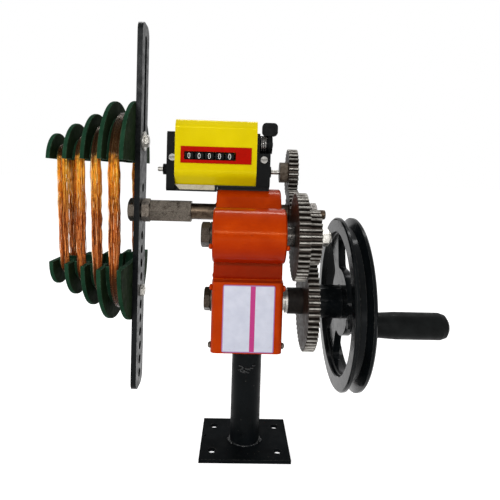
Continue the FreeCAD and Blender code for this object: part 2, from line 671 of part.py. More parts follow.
def former_outline(pitch):
    """Half section of a stepped former: flanges outside, an open hollow inside."""
    outer = []
    hollow = []
    for i, radius in enumerate(FLANGES):
        left, right = flange_left(i, pitch), flange_left(i, pitch) + " + flange_thick"
        if i:
            outer.append((left, FLANGES[i - 1] + " - channel_depth"))
        outer += [(left, radius + " - rim_round"),
                  (left + " + rim_round * 0.3", radius + " - rim_round * 0.3"),
                  (left + " + rim_round", radius), (right + " - rim_round", radius),
                  (right + " - rim_round * 0.3", radius + " - rim_round * 0.3"),
                  (right, radius + " - rim_round")]
        if i < len(FLANGES) - 1:
            outer.append((right, radius + " - channel_depth"))
            inner = radius + " - channel_depth - former_wall"
            step = right if i == 0 else left + " + flange_thick / 2"
            hollow_end = flange_left(i + 1, pitch) + (" + flange_thick / 2" if i < len(FLANGES) - 2 else "")
            hollow += [(step, inner), (hollow_end, inner)]
    start, end = flange_left(0, pitch), "last_flange + flange_thick"
    back = [(end, 0), ("last_flange", 0)]
    return [(start, 0)] + outer + back + hollow[::-1] + [(start + " + flange_thick", 0)]


def former(name, pitch, flat_z, bolt_z, upside_down):
    shell = turned(name + "_shell", former_outline(pitch), "spindle_axis_y", flat_z, 180)
    shell.Placement = Placement(Vector(), Rotation(Vector(1, 0, 0), 180 if upside_down else 0))
    bolt_hole = rod(name + "_bolt_hole", "last_flange", "arm_left",
                    "former_bolt_dia / 2 + seat_clearance", "spindle_axis_y", bolt_z)
    node(name, cut(name, shell, bolt_hole))


def former_fastening(name, bolt_z, washer):
    """A hex bolt from inside the former, with its nut on the other side of the arm."""
    axis = ("spindle_axis_y", bolt_z)
    head = chamfered_hex(name + "_head", "last_flange - former_head_length", "last_flange",
                         "former_bolt_across", *axis)
    nut_left = "arm_right + former_washer_thick" if washer else "arm_right"
    nut_right = nut_left + " + former_nut_length"
    tip = nut_right + " + former_thread_end"
    shank = rod(name + "_shank", "last_flange", tip, "former_bolt_dia / 2", *axis)
    node(name + "_bolt", fuse(name + "_bolt", head, shank))
    bore = "former_bolt_dia / 2 + seat_clearance"
    pieces = [chamfered_hex(name + "_nut_hex", nut_left, nut_right, "former_bolt_across", *axis, bore)]
    if washer:
        pieces.append(ring(name + "_washer", "arm_right", nut_left, "former_washer_dia / 2", bore, *axis))
    node(name + "_nut", group(name + "_nut", *pieces))


def slab_between(name, bottom, top, width, depth):
    """A leaning slab, given the middle (x, z) of each end, its width along X and its half depth."""
    corners = [("%s - %s / 2" % (bottom[0], width), bottom[1]),
               ("%s + %s / 2" % (bottom[0], width), bottom[1]),
               ("%s + %s / 2" % (top[0], width), top[1]), ("%s - %s / 2" % (top[0], width), top[1])]
    body = doc.addObject("PartDesign::Body", name)
    sketch = polygon_sketch(body, name + "_outline", corners, "XZ_Plane")
    pad = body.newObject("PartDesign::Pad", name + "_pad")
    pad.Profile = sketch
    pad.Midplane = True
    bind(pad, Length="2 * (%s)" % depth)
    return place(body, 0, "spindle_axis_y", 0)


def coil(index):
    """One wound bundle of wire: leaning straight runs joined by half turns round the two formers."""
    name = "wire_coil_%d" % (index + 1)
    core = FLANGES[index] + " - channel_depth + coil_clearance"
    ends = [("%s + (%s + flange_thick) / 2" % (flange_left(index, pitch), pitch), level)
            for pitch, level in (("lower_pitch", "lower_flat"), ("upper_pitch", "upper_flat"))]

    def half_turn(part, end, radius, width, angle):
        middle, level = end
        half = rod("%s_%s_%s" % (name, part, level), "%s - %s / 2" % (middle, width),
                   "%s + %s / 2" % (middle, width), radius, "spindle_axis_y", level)
        half.Angle = 180
        half.Placement.Rotation = Rotation(Vector(1, 0, 0), angle).multiply(ALONG_X)
        return half

    def racetrack(part, radius, width):
        runs = slab_between("%s_%s_runs" % (name, part), *ends, width, radius)
        return fuse("%s_%s" % (name, part), runs, half_turn(part, ends[0], radius, width, -90),
                    half_turn(part, ends[1], radius, width, 90))

    wound = racetrack("outer", core + " + coil_build", "coil_width")
    node(name, cut(name, wound, racetrack("inner", core, "coil_width * 2")))


# ---------------------------------------------------------------------------------------------
# Handwheel and grip
# ---------------------------------------------------------------------------------------------
def handwheel():
    """A grooved wheel with three curved windows between its spokes."""
    middle = "wheel_left + wheel_width / 2"
    rim_inner = "wheel_radius - rim_depth"
    groove_floor = "wheel_radius - groove_depth"
    bore = "shaft_radius + seat_clearance"
    outline = [("hub_left", bore), ("wheel_right", bore), ("wheel_right", "hub_dia / 2"),
               ("disc_right", "hub_dia / 2"), ("disc_right", rim_inner + " - 1"),
               ("disc_right + 1", rim_inner), ("wheel_right - 1", rim_inner),
               ("wheel_right", rim_inner + " + 1"),
               ("wheel_right", "wheel_radius - rim_edge"), ("wheel_right - rim_edge", "wheel_radius"),
               (middle + " + groove_top / 2", "wheel_radius"),
               (middle + " + groove_bottom / 2", groove_floor),
               (middle + " - groove_bottom / 2", groove_floor),
               (middle + " - groove_top / 2", "wheel_radius"),
               ("wheel_left + rim_edge", "wheel_radius"), ("wheel_left", "wheel_radius - rim_edge"),
               ("wheel_left", rim_inner + " + 1"), ("wheel_left + 1", rim_inner),
               ("disc_left - 1", rim_inner), ("disc_left", rim_inner + " - 1"),
               ("disc_left", "hub_dia / 2 + 1"), ("disc_left - 1", "hub_dia / 2"),
               ("hub_left + 1", "hub_dia / 2"), ("hub_left", "hub_dia / 2 - 1")]
    casting = turned("wheel_casting", outline, *CRANK)
    windows = [wheel_window(i) for i in range(int(value("window_count")))]
    pin_hole = rod("wheel_pin_hole", "disc_left", "disc_right", "grip_pin_dia / 2 + seat_clearance",
                   "crank_pin_y", "crank_pin_z")
    node("handwheel", cut("handwheel", casting, pin_hole, *windows))


def wheel_window(index):
    """A curved window: a sector of a ring with rounded corners."""
    name = "wheel_window_%d" % index
    sweep = "360 / window_count - spoke_angle"
    outer = rod(name + "_outer", "disc_left", "disc_right", "wheel_radius - rim_depth - window_gap",
                *CRANK)
    inner = rod(name + "_inner", "disc_left", "disc_right", "window_inner", *CRANK)
    bind(outer, Angle=sweep)
    spacing = 360 / value("window_count")
    # A rod's sector opens from -Z towards +Y, so a turn about X brings it beside the crank's spoke.
    first = value("crank_angle") + value("spoke_angle") / 2 + 90
    outer.Placement.Rotation = Rotation(Vector(1, 0, 0), first + index * spacing).multiply(ALONG_X)
    sector = cut(name + "_sector", outer, inner)
    return rounded(name, sector, "window_corner", parallel_to(Vector(1, 0, 0)))


def grip():
    axis = ("crank_pin_y", "crank_pin_z")
    pin_right = "grip_collar_end + grip_length - grip_floor - grip_gap"
    head_left = "disc_left - grip_nut_length"
    collar = ring("grip_pin_collar", "disc_right", "grip_collar_end", "grip_collar_dia / 2",
                  "grip_pin_dia / 2", *axis)
    pin = rod("grip_pin_rod", head_left, pin_right, "grip_pin_dia / 2", *axis)
    nut = chamfered_hex("grip_pin_nut", head_left + " + 1.5", "disc_left", "grip_nut_across", *axis)
    bead_left = "grip_collar_end + grip_length / 2"
    bead_right = bead_left + " + grip_bead_width"
    bead_height = "grip_pin_dia / 2 + grip_bead_height"
    bead = ring("grip_pin_bead", bead_left, bead_right, bead_height, "grip_pin_dia / 2", *axis)
    node("grip_pin", fuse("grip_pin", collar, pin, nut, bead))

    # The plastic grip snaps over the pin's bead, which keeps it from sliding off.
    start = "grip_collar_end + grip_gap"
    end = "grip_collar_end + grip_length"
    bore = "grip_pin_dia / 2 + running_clearance"
    floor = end + " - grip_floor"
    full = "grip_dia / 2"
    snap_left, snap_right = bead_left + " - grip_gap", bead_right + " + grip_gap"
    snap = bead_height + " + running_clearance"
    outline = [(start, bore), (snap_left, bore), (snap_left, snap), (snap_right, snap),
               (snap_right, bore), (floor, bore), (floor, 0), (end, 0), (end, full + " * 0.3"),
               (end + " - grip_nose * 0.12", full + " * 0.62"),
               (end + " - grip_nose * 0.4", full + " * 0.87"),
               (end + " - grip_nose", full), (start + " + grip_length * 0.3", full),
               (start + " + 3", "grip_root_dia / 2"), (start, "grip_root_dia / 2 - 1")]
    node("handle_grip", turned("handle_grip", outline, *axis))


# ---------------------------------------------------------------------------------------------
# Turns counter
# ---------------------------------------------------------------------------------------------
def counter_bracket():
    """A joggled sheet under the counter: low beside the tube, high above it, with a saddle."""
    right = "cover_right + right_cheek_thick"
    seat = "spindle_axis_z + tube_radius - saddle_drop"
    shelf = box("bracket_shelf", ("base_right", "bracket_front", "bracket_bottom"),
                (right, "cover_rear", "bracket_top"))
    joggle = box("bracket_joggle_web",
                 ("base_right", "bracket_front", "base_bottom - bracket_thick"),
                 ("base_right + bracket_thick", "cover_rear", "bracket_top"))
    low_shelf = box("bracket_low_shelf",
                    ("cover_left", "bracket_front", "base_bottom - bracket_thick"),
                    ("base_right", "cover_rear", "base_bottom"))
    saddle = box("bracket_saddle",
                 ("housing_left + web_inset", "spindle_axis_y - saddle_width / 2", seat),
                 (right, "spindle_axis_y + saddle_width / 2", "bracket_bottom"))
    tube = rod("bracket_tube", "housing_left - seat_clearance", "housing_right",
               "tube_radius + seat_clearance", *SPINDLE)
    node("counter_bracket",
         cut("counter_bracket", fuse("bracket_solid", shelf, joggle, low_shelf, saddle), tube))


def counter_base():
    """The bare bar between the cover and the low part of the bracket."""
    bar = box("base_bar", ("cover_left", "bracket_front", "base_bottom"),
              ("base_right", "cover_rear - cover_skin", "bracket_top"))
    low_left = Vector(value("cover_left"), 0, value("base_bottom"))

    def corner(edge):
        return parallel_to(Vector(0, 1, 0))(edge) and edge.distToShape(left_edge)[0] < 1e-6

    left_edge = Part.makeLine(low_left, low_left + Vector(0, value("cover_rear"), 0))
    node("counter_base", rounded("counter_base", bar, "counter_base_bevel", corner, "Part::Chamfer"))


def shaft_clearance(name, start, end):
    return rod(name, start, end, "counter_shaft_dia / 2 + running_clearance", *COUNTER)


def axle_seat(name, start, end):
    return rod(name, start, end, "digit_axle_dia / 2 + seat_clearance", "digit_axis_y", "digit_axis_z")


def screw_seat(name, x):
    return cylinder(name, "screw_shank_dia / 2 + seat_clearance", "screw_shank", x, "cheek_front",
                    "screw_z", ALONG_Y)


def counter_cheeks():
    """The two black side cheeks that carry the counter's shafts."""
    left_face = "cover_left - left_cheek_thick"
    slab = box("left_cheek_slab", (left_face, "cheek_front", "base_bottom - bracket_thick"),
               ("cover_left", "cover_rear", "cheek_top"))
    softened = rounded("left_cheek_rounded", slab, "cheek_corner", parallel_to(Vector(1, 0, 0)))
    boss = rod("left_boss", left_face + " - left_boss_length", left_face, "boss_dia / 2", *COUNTER)
    # A three-sided foot fills the bevel of the base bar beside it.
    foot_block = box("left_foot_block", ("cover_left", "bracket_front", "base_bottom"),
                     ("cover_left + counter_base_bevel", "cover_rear - cover_skin",
                      "base_bottom + counter_base_bevel"))
    foot = cut("left_foot", foot_block, doc.getObject("counter_base"))
    solid = fuse("left_cheek_solid", softened, boss, foot)
    left_start = left_face + " - left_boss_length"
    node("counter_left_cheek",
         cut("counter_left_cheek", solid, shaft_clearance("left_shaft_hole", left_start, "cover_left"),
             axle_seat("left_axle_seat", "cover_left - 5", "cover_left"),
             screw_seat("left_screw_seat", "left_screw_x")))

    face = "cover_right + right_cheek_thick"
    block = box("right_cheek_block", ("cover_right", "cheek_front", "bracket_top"),
                (face, "cover_rear", "right_cheek_step"))
    plate = box("right_cheek_plate", ("cover_right", "cheek_front", "bracket_top"),
                ("cover_right + right_plate_thick", "cover_rear", "cheek_top"))
    boss = rod("right_boss", face, face + " + right_boss_length", "boss_dia / 2", *COUNTER)
    pivot = rod("reset_pivot", "cover_right + right_plate_thick",
                "reset_hub_left + reset_hub_thick + 1", "reset_pin_dia / 2", "reset_axis_y", "reset_axis_z")
    rear = box("right_cheek_rear", ("cover_right", "right_pocket_rear", "bracket_top"),
               (face, "cover_rear", "cheek_top"))
    solid = fuse("right_cheek_solid", block, plate, rear, boss, pivot)
    node("counter_right_cheek",
         cut("counter_right_cheek", solid,
             shaft_clearance("right_shaft_hole", "cover_right", face + " + right_boss_length"),
             axle_seat("right_axle_seat", "cover_right", "cover_right + 5"),
             screw_seat("right_screw_seat", "right_screw_x")))


def counter_cover():
    """The folded sheet cover, open at both ends and underneath."""
    def fold(skin):
        front, rear = "cover_front + %s" % skin, "cover_rear - %s" % skin
        top, low = "cover_top - %s" % skin, "bracket_top"
        return [(front + " + cover_low_bevel_y", low), (front, low + " + cover_low_bevel_z"),
                (front, top + " - cover_top_bevel_z"), (front + " + cover_top_bevel_y", top),
                (rear + " - cover_top_bevel_y", top), (rear, top + " - cover_top_bevel_z"), (rear, low)]


    def bend_between(low, high):
        def chosen(edge):
            return parallel_to(Vector(1, 0, 0))(edge) and low < edge.CenterOfMass.z < high
        return chosen

    floor, middle, roof = (value(n) for n in ("bracket_top", "window_bottom", "cover_top"))

    def folded(name, skin_depth, low_radius, radius):
        sheet = extruded(name + "_folds", fold(skin_depth), "cover_left", "cover_right")
        swept = rounded(name + "_low_bend", sheet, low_radius, bend_between(floor + 1, middle))
        return rounded(name, swept, radius, bend_between(middle, roof + 1))

    skin = folded("cover_skin_outer", "0", "cover_low_radius", "cover_fold_radius")
    hollow = folded("cover_hollow", "cover_skin", "cover_low_inner_radius", "cover_inner_radius")
    window = box("cover_window", ("window_left", "cover_front", "window_bottom"),
                 ("window_right", "cover_front + cover_skin", "window_bottom + window_height"))
    node("counter_cover", cut("counter_cover", skin, hollow, window))


def counter_panel():
    panel = box("panel_plate", ("panel_left", "cover_front - panel_thick", "panel_bottom"),
                ("panel_right", "cover_front", "panel_bottom + panel_height"))
    window = box("panel_window", ("window_left", "cover_front - panel_thick", "window_bottom"),
                 ("window_right", "cover_front", "window_bottom + window_height"))
    node("counter_panel", cut("counter_panel", panel, window))


def number_wheels():
    """The digit wheels behind the window, on their own fixed axle."""
    axis = ("digit_axis_y", "digit_axis_z")
    node("number_axle", rod("number_axle", "cover_left - 5", "cover_right + 5",
                            "digit_axle_dia / 2", *axis))
    for i in range(int(value("digit_wheel_count"))):
        left = "first_wheel + %d * wheel_pitch - digit_wheel_width / 2" % i
        name = "number_wheel_%d" % (i + 1)
        node(name, ring(name, left, left + " + digit_wheel_width", "digit_wheel_dia / 2",
                        "digit_axle_dia / 2 + running_clearance", *axis))


def counter_shaft():
    start = "cover_left - left_cheek_thick - left_boss_length - counter_stub"
    outline = [(start, 0), (start, "counter_shaft_dia / 2 - 0.5"),
               (start + " + 0.5", "counter_shaft_dia / 2"),
               ("idler_plane + gear_face", "counter_shaft_dia / 2"), ("idler_plane + gear_face", 0)]
    node("counter_shaft", turned("counter_shaft", outline, *COUNTER))


def reset_lever():
    """The thumb lever that returns the digits to zero, and its coiled return spring."""
    axis = ("reset_axis_y", "reset_axis_z")
    sleeve_left = "cover_right + right_plate_thick + 0.5"
    right = "reset_hub_left + reset_hub_thick"
    sleeve = rod("reset_sleeve", sleeve_left, "reset_hub_left", "reset_sleeve_dia / 2", *axis)
    hub = rod("reset_hub", "reset_hub_left", right, "reset_hub_dia / 2", *axis)
    neck = box("reset_neck", ("reset_hub_left", "reset_axis_y - reset_blade_thick / 2", "reset_axis_z"),
               (right, "reset_axis_y + reset_blade_thick / 2", "reset_blade_bottom + reset_blade_corner"))
    slab = box("reset_blade_slab",
               ("reset_blade_left", "reset_axis_y - reset_blade_thick / 2", "reset_blade_bottom"),
               ("reset_blade_left + reset_blade_width", "reset_axis_y + reset_blade_thick / 2",
                "reset_blade_bottom + reset_blade_height"))
    blade = rounded("reset_blade", slab, "reset_blade_corner", parallel_to(Vector(0, 1, 0)))
    solid = fuse("reset_solid", sleeve, hub, neck, blade)
    bore = rod("reset_bore", sleeve_left, right, "reset_pin_dia / 2 + running_clearance", *axis)
    node("reset_lever", cut("reset_lever", solid, bore))

    coils = []
    for i in range(int(value("spring_turns"))):
        turn = doc.addObject("Part::Torus", "reset_spring_%d" % i)
        bind(turn, Radius1="reset_sleeve_dia / 2 - spring_grip + spring_wire_dia / 2",
             Radius2="spring_wire_dia / 2")
        centre = sleeve_left + " + spring_wire_dia + %d * spring_pitch" % i
        coils.append(place(turn, centre, *axis, ALONG_X))
    node("reset_spring", group("reset_spring", *coils))


def counter_screws():
    """The slotted screws in the front edges of the cheeks."""
    screws = []
    for side in ("left", "right"):
        x = side + "_screw_x"
        head = cylinder("%s_screw_head" % side, "screw_head_dia / 2", "screw_head_height", x,
                        "cheek_front - screw_head_height", "screw_z", ALONG_Y)
        slot = box("%s_screw_slot" % side,
                   (x + " - screw_head_dia", "cheek_front - screw_head_height", "screw_z - 0.6"),
                   (x + " + screw_head_dia", "cheek_front - screw_head_height / 2", "screw_z + 0.6"))
        shank = cylinder("%s_screw_shank" % side, "screw_shank_dia / 2", "screw_shank", x,
                         "cheek_front", "screw_z", ALONG_Y)
        slotted = cut("%s_screw_slotted" % side, head, slot)
        screws.append(fuse("%s_screw" % side, slotted, shank))
    node("counter_screws", group("counter_screws", *screws))


# ---------------------------------------------------------------------------------------------
# Assembly
# ---------------------------------------------------------------------------------------------
def build():
    base_plate()
    post_pipe()
    crank_housing()
    tube_housing("middle_housing", MIDDLE)
    tube_housing("spindle_housing", SPINDLE)
    housing_saddle()
    for name, axis in (("crank_bearings", CRANK), ("middle_bearings", MIDDLE),
                       ("spindle_bearings", SPINDLE)):
        bearing_pair(name, axis)
    gear_train()
    crank_shaft()
    middle_shaft()
    spindle_shaft()
    arm_fastenings()
    winding_arm()
    former("upper_former", "upper_pitch", "upper_flat", "upper_bolt_z", False)
    former("lower_former", "lower_pitch", "lower_flat", "lower_bolt_z", True)
    former_fastening("upper_former", "upper_bolt_z", True)
    former_fastening("lower_former", "lower_bolt_z", False)
    for index in range(len(FLANGES) - 1):
        coil(index)
    handwheel()
    grip()
    counter_bracket()
    counter_base()
    counter_cheeks()
    counter_cover()
    counter_panel()
    number_wheels()
    counter_shaft()
    reset_lever()
    counter_screws()


def check_and_export():
    doc.recompute()
    faulty = [obj.Name for obj in doc.Objects if {"Invalid", "Error"} & set(obj.State)]
    if faulty:
        raise RuntimeError("these objects failed: " + ", ".join(faulty))
    for obj in nodes:
        if obj.Shape.isNull() or not obj.Shape.isValid():
            raise RuntimeError("the shape of %s is not valid" % obj.Label)
    os.makedirs("parts", exist_ok=True)
    for obj in nodes:
        obj.Shape.exportStep("parts/%s.step" % obj.Label)
        print("%-22s solids %d volume %.1f" % (obj.Label, len(obj.Shape.Solids), obj.Shape.Volume))


build()
check_and_export()
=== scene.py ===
"""The looks of a hand-cranked coil winding machine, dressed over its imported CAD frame.

Metres, in the row frame: +X along the shafts towards the handwheel, +Y away from the side that
carries the label, +Z up.
"""
import json
import math
import random

import bpy
from mathutils import Matrix, Vector


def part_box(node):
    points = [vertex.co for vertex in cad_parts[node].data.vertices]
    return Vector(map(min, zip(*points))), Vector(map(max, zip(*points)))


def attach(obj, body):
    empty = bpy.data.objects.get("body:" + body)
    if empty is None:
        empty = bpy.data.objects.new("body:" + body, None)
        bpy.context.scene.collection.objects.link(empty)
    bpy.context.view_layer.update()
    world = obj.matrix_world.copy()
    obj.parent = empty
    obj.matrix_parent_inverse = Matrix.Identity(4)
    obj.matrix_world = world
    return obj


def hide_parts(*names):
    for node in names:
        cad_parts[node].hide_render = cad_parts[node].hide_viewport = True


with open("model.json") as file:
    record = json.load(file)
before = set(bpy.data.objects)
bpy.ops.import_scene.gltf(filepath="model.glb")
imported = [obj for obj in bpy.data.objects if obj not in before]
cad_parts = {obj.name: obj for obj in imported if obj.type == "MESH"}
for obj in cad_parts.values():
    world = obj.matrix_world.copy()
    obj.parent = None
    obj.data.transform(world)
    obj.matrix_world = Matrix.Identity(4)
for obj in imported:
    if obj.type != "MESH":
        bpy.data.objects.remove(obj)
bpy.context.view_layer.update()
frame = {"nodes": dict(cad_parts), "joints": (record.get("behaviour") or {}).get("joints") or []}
MM = 0.001
AXES = {joint["name"]: Vector(joint["pos_m"]) for joint in frame["joints"] if "pos_m" in joint}
CRANK, MIDDLE, SPINDLE, COUNTER = (
    AXES[name] for name in ("crank_turn", "middle_turn", "spindle_turn", "counter_turn"))
DIGITS = AXES["digits_turn_1"]
FORMER_GAP = (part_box("lower_former")[1].z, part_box("upper_former")[0].z)


# ---------------------------------------------------------------------------------------------
# Camera, light and floor
# ---------------------------------------------------------------------------------------------
IMAGE_SIZE = 500
FOCAL_PIXELS = 450.83
OPTICAL_CENTRE_Y = 195.83
SENSOR = 36.0
CLIP_START = 0.01
CAMERA_PLACE = Vector((-0.01636, -0.51578, 0.30708))
CAMERA_PITCH, CAMERA_YAW, CAMERA_ROLL = (math.radians(a) for a in (2.21, 1.61, 1.73))
# Each lamp's name, place, the point it aims at, its width and height, and its watts.
LAMPS = (
    ("strip", (-0.25, -1.25, 0.68), (0, 0, 0.24), (1.1, 0.09), 9),
    ("key", (-0.6, -0.95, 1.1), (-0.02, 0, 0.25), (1.1, 0.4), 3),
    ("bounce", (0, -0.95, 0.05), (0, 0, 0.3), (1.0, 0.3), 1.5),
    ("top", (0.1, 0.5, 1.3), (0, 0, 0.2), (1.0, 0.16), 5.5),
)
WORLD_FILL = 0.5
FLOOR_REACH = 30
FLOOR_WHITE = 0.8
FLOOR_GLOW = 0.68


def add_camera():
    """The photograph's viewpoint, found from the base plate, the tubes and the formers."""
    forward = Vector((math.sin(CAMERA_YAW) * math.cos(CAMERA_PITCH),
                      math.cos(CAMERA_YAW) * math.cos(CAMERA_PITCH), -math.sin(CAMERA_PITCH)))
    right = Vector((math.cos(CAMERA_YAW), -math.sin(CAMERA_YAW), 0))
    up = right.cross(forward)
    rolled_right = right * math.cos(CAMERA_ROLL) + up * math.sin(CAMERA_ROLL)
    rolled_up = up * math.cos(CAMERA_ROLL) - right * math.sin(CAMERA_ROLL)
    data = bpy.data.cameras.new("camera")
    data.sensor_width = SENSOR
    data.lens = FOCAL_PIXELS / IMAGE_SIZE * SENSOR
    data.shift_y = (OPTICAL_CENTRE_Y - IMAGE_SIZE / 2) / IMAGE_SIZE
    data.clip_start = CLIP_START
    camera = bpy.data.objects.new("camera", data)
    turn = Matrix((rolled_right, rolled_up, -forward)).transposed()
    camera.matrix_world = Matrix.Translation(CAMERA_PLACE) @ turn.to_4x4()
    bpy.context.scene.collection.objects.link(camera)
    bpy.context.scene.camera = camera


def add_lamp(name, place, aim, size, power):
    """A rectangular lamp turned towards the point that it aims at."""
    data = bpy.data.lights.new(name, "AREA")
    data.shape = "RECTANGLE"
    data.size, data.size_y = size
    data.energy = power
    lamp = bpy.data.objects.new(name, data)
    lamp.location = place
    lamp.rotation_euler = (Vector(aim) - Vector(place)).to_track_quat("-Z", "Y").to_euler()
    bpy.context.scene.collection.objects.link(lamp)


def seen_directly(tree):
    """A factor that is 1 for camera, glossy and transmission rays."""
    path = tree.nodes.new("ShaderNodeLightPath")
    total = None
    for output in ("Is Camera Ray", "Is Glossy Ray", "Is Transmission Ray"):
        if total is None:
            total = path.outputs[output]
            continue
        largest = tree.nodes.new("ShaderNodeMath")
        largest.operation = "MAXIMUM"
        tree.links.new(total, largest.inputs[0])
        tree.links.new(path.outputs[output], largest.inputs[1])
        total = largest.outputs[0]
    return total


def add_world():
    """White where it is seen, and a plain level of fill light elsewhere."""
    world = bpy.data.worlds.new("studio")
    bpy.context.scene.world = world
    world.use_nodes = True
    tree = world.node_tree
    tree.nodes.clear()
    dim, white = (tree.nodes.new("ShaderNodeBackground") for _ in range(2))
    dim.inputs["Strength"].default_value = WORLD_FILL
    for background in (dim, white):
        background.inputs["Color"].default_value = (1, 1, 1, 1)
    mix = tree.nodes.new("ShaderNodeMixShader")
    output = tree.nodes.new("ShaderNodeOutputWorld")
    tree.links.new(seen_directly(tree), mix.inputs[0])
    tree.links.new(dim.outputs[0], mix.inputs[1])
    tree.links.new(white.outputs[0], mix.inputs[2])
    tree.links.new(mix.outputs[0], output.inputs[0])


def add_floor():
    """A pale floor that keeps the object's shadow and meets the white background."""
    mesh = bpy.data.meshes.new("floor")
    square = ((-1, -1), (1, -1), (1, 1), (-1, 1))
    corners = [(x * FLOOR_REACH, y * FLOOR_REACH, 0) for x, y in square]
    mesh.from_pydata(corners, [], [(0, 1, 2, 3)])
    floor = bpy.data.objects.new("floor", mesh)
    bpy.context.scene.collection.objects.link(floor)
    material = bpy.data.materials.new("floor_white")
    material.use_nodes = True
    tree = material.node_tree
    shader = tree.nodes["Principled BSDF"]
    shader.inputs["Base Color"].default_value = (FLOOR_WHITE, FLOOR_WHITE, FLOOR_WHITE, 1)
    shader.inputs["Roughness"].default_value = 1
    shader.inputs["Specular IOR Level"].default_value = 0
    emission = tree.nodes.new("ShaderNodeEmission")
    scale = tree.nodes.new("ShaderNodeMath")
    scale.operation = "MULTIPLY"
    scale.inputs[1].default_value = FLOOR_GLOW
    tree.links.new(seen_directly(tree), scale.inputs[0])
    tree.links.new(scale.outputs[0], emission.inputs["Strength"])
    add = tree.nodes.new("ShaderNodeAddShader")
    tree.links.new(shader.outputs[0], add.inputs[0])
    tree.links.new(emission.outputs[0], add.inputs[1])
    tree.links.new(add.outputs[0], tree.nodes["Material Output"].inputs[0])
    mesh.materials.append(material)


# ---------------------------------------------------------------------------------------------
# Materials
# ---------------------------------------------------------------------------------------------
# How the tool marks on steel are stretched: fine rings round the X axis, or an even grain.
TURNED, EVEN = (0.03, 1, 1), (1, 1, 1)
BEVEL_SAMPLES = 4
SOFT_EDGE = 0.4 * MM
TOOTH_DEPTH = 4.5 * MM
RING_PITCH = 1.1 * MM
HUB_RADIUS = 16 * MM
# The wire is painted lighter, from brown to gold, between these shares of the open height between
# the formers.
GOLD_FROM, GOLD_TO = 0.431, 0.904
# In the grooves, painted shade darkens the wire over these heights, counted from the upper
# former's lower end and the lower former's upper end, along a border that waves by GROOVE_WAVE.
# The painted shade itself deepens over
# DEEP_FADE, counted from the upper former's lower end.
UPPER_FADE = (-6 * MM, 7 * MM)
LOWER_FADE = (-16 * MM, 4 * MM)
DEEP_FADE = (-13.6 * MM, 36.4 * MM)
UPPER_DARK, LOWER_DARK = 0.985, 0.92
GROOVE_WAVE = 4 * MM


def colour(red, green, blue):
    """An sRGB display colour, 0 to 255, as the linear colour that shaders take."""
    def linear(value):
        """One channel."""
        value /= 255
        return value / 12.92 if value <= 0.04045 else ((value + 0.055) / 1.055) ** 2.4
    return (linear(red), linear(green), linear(blue), 1)


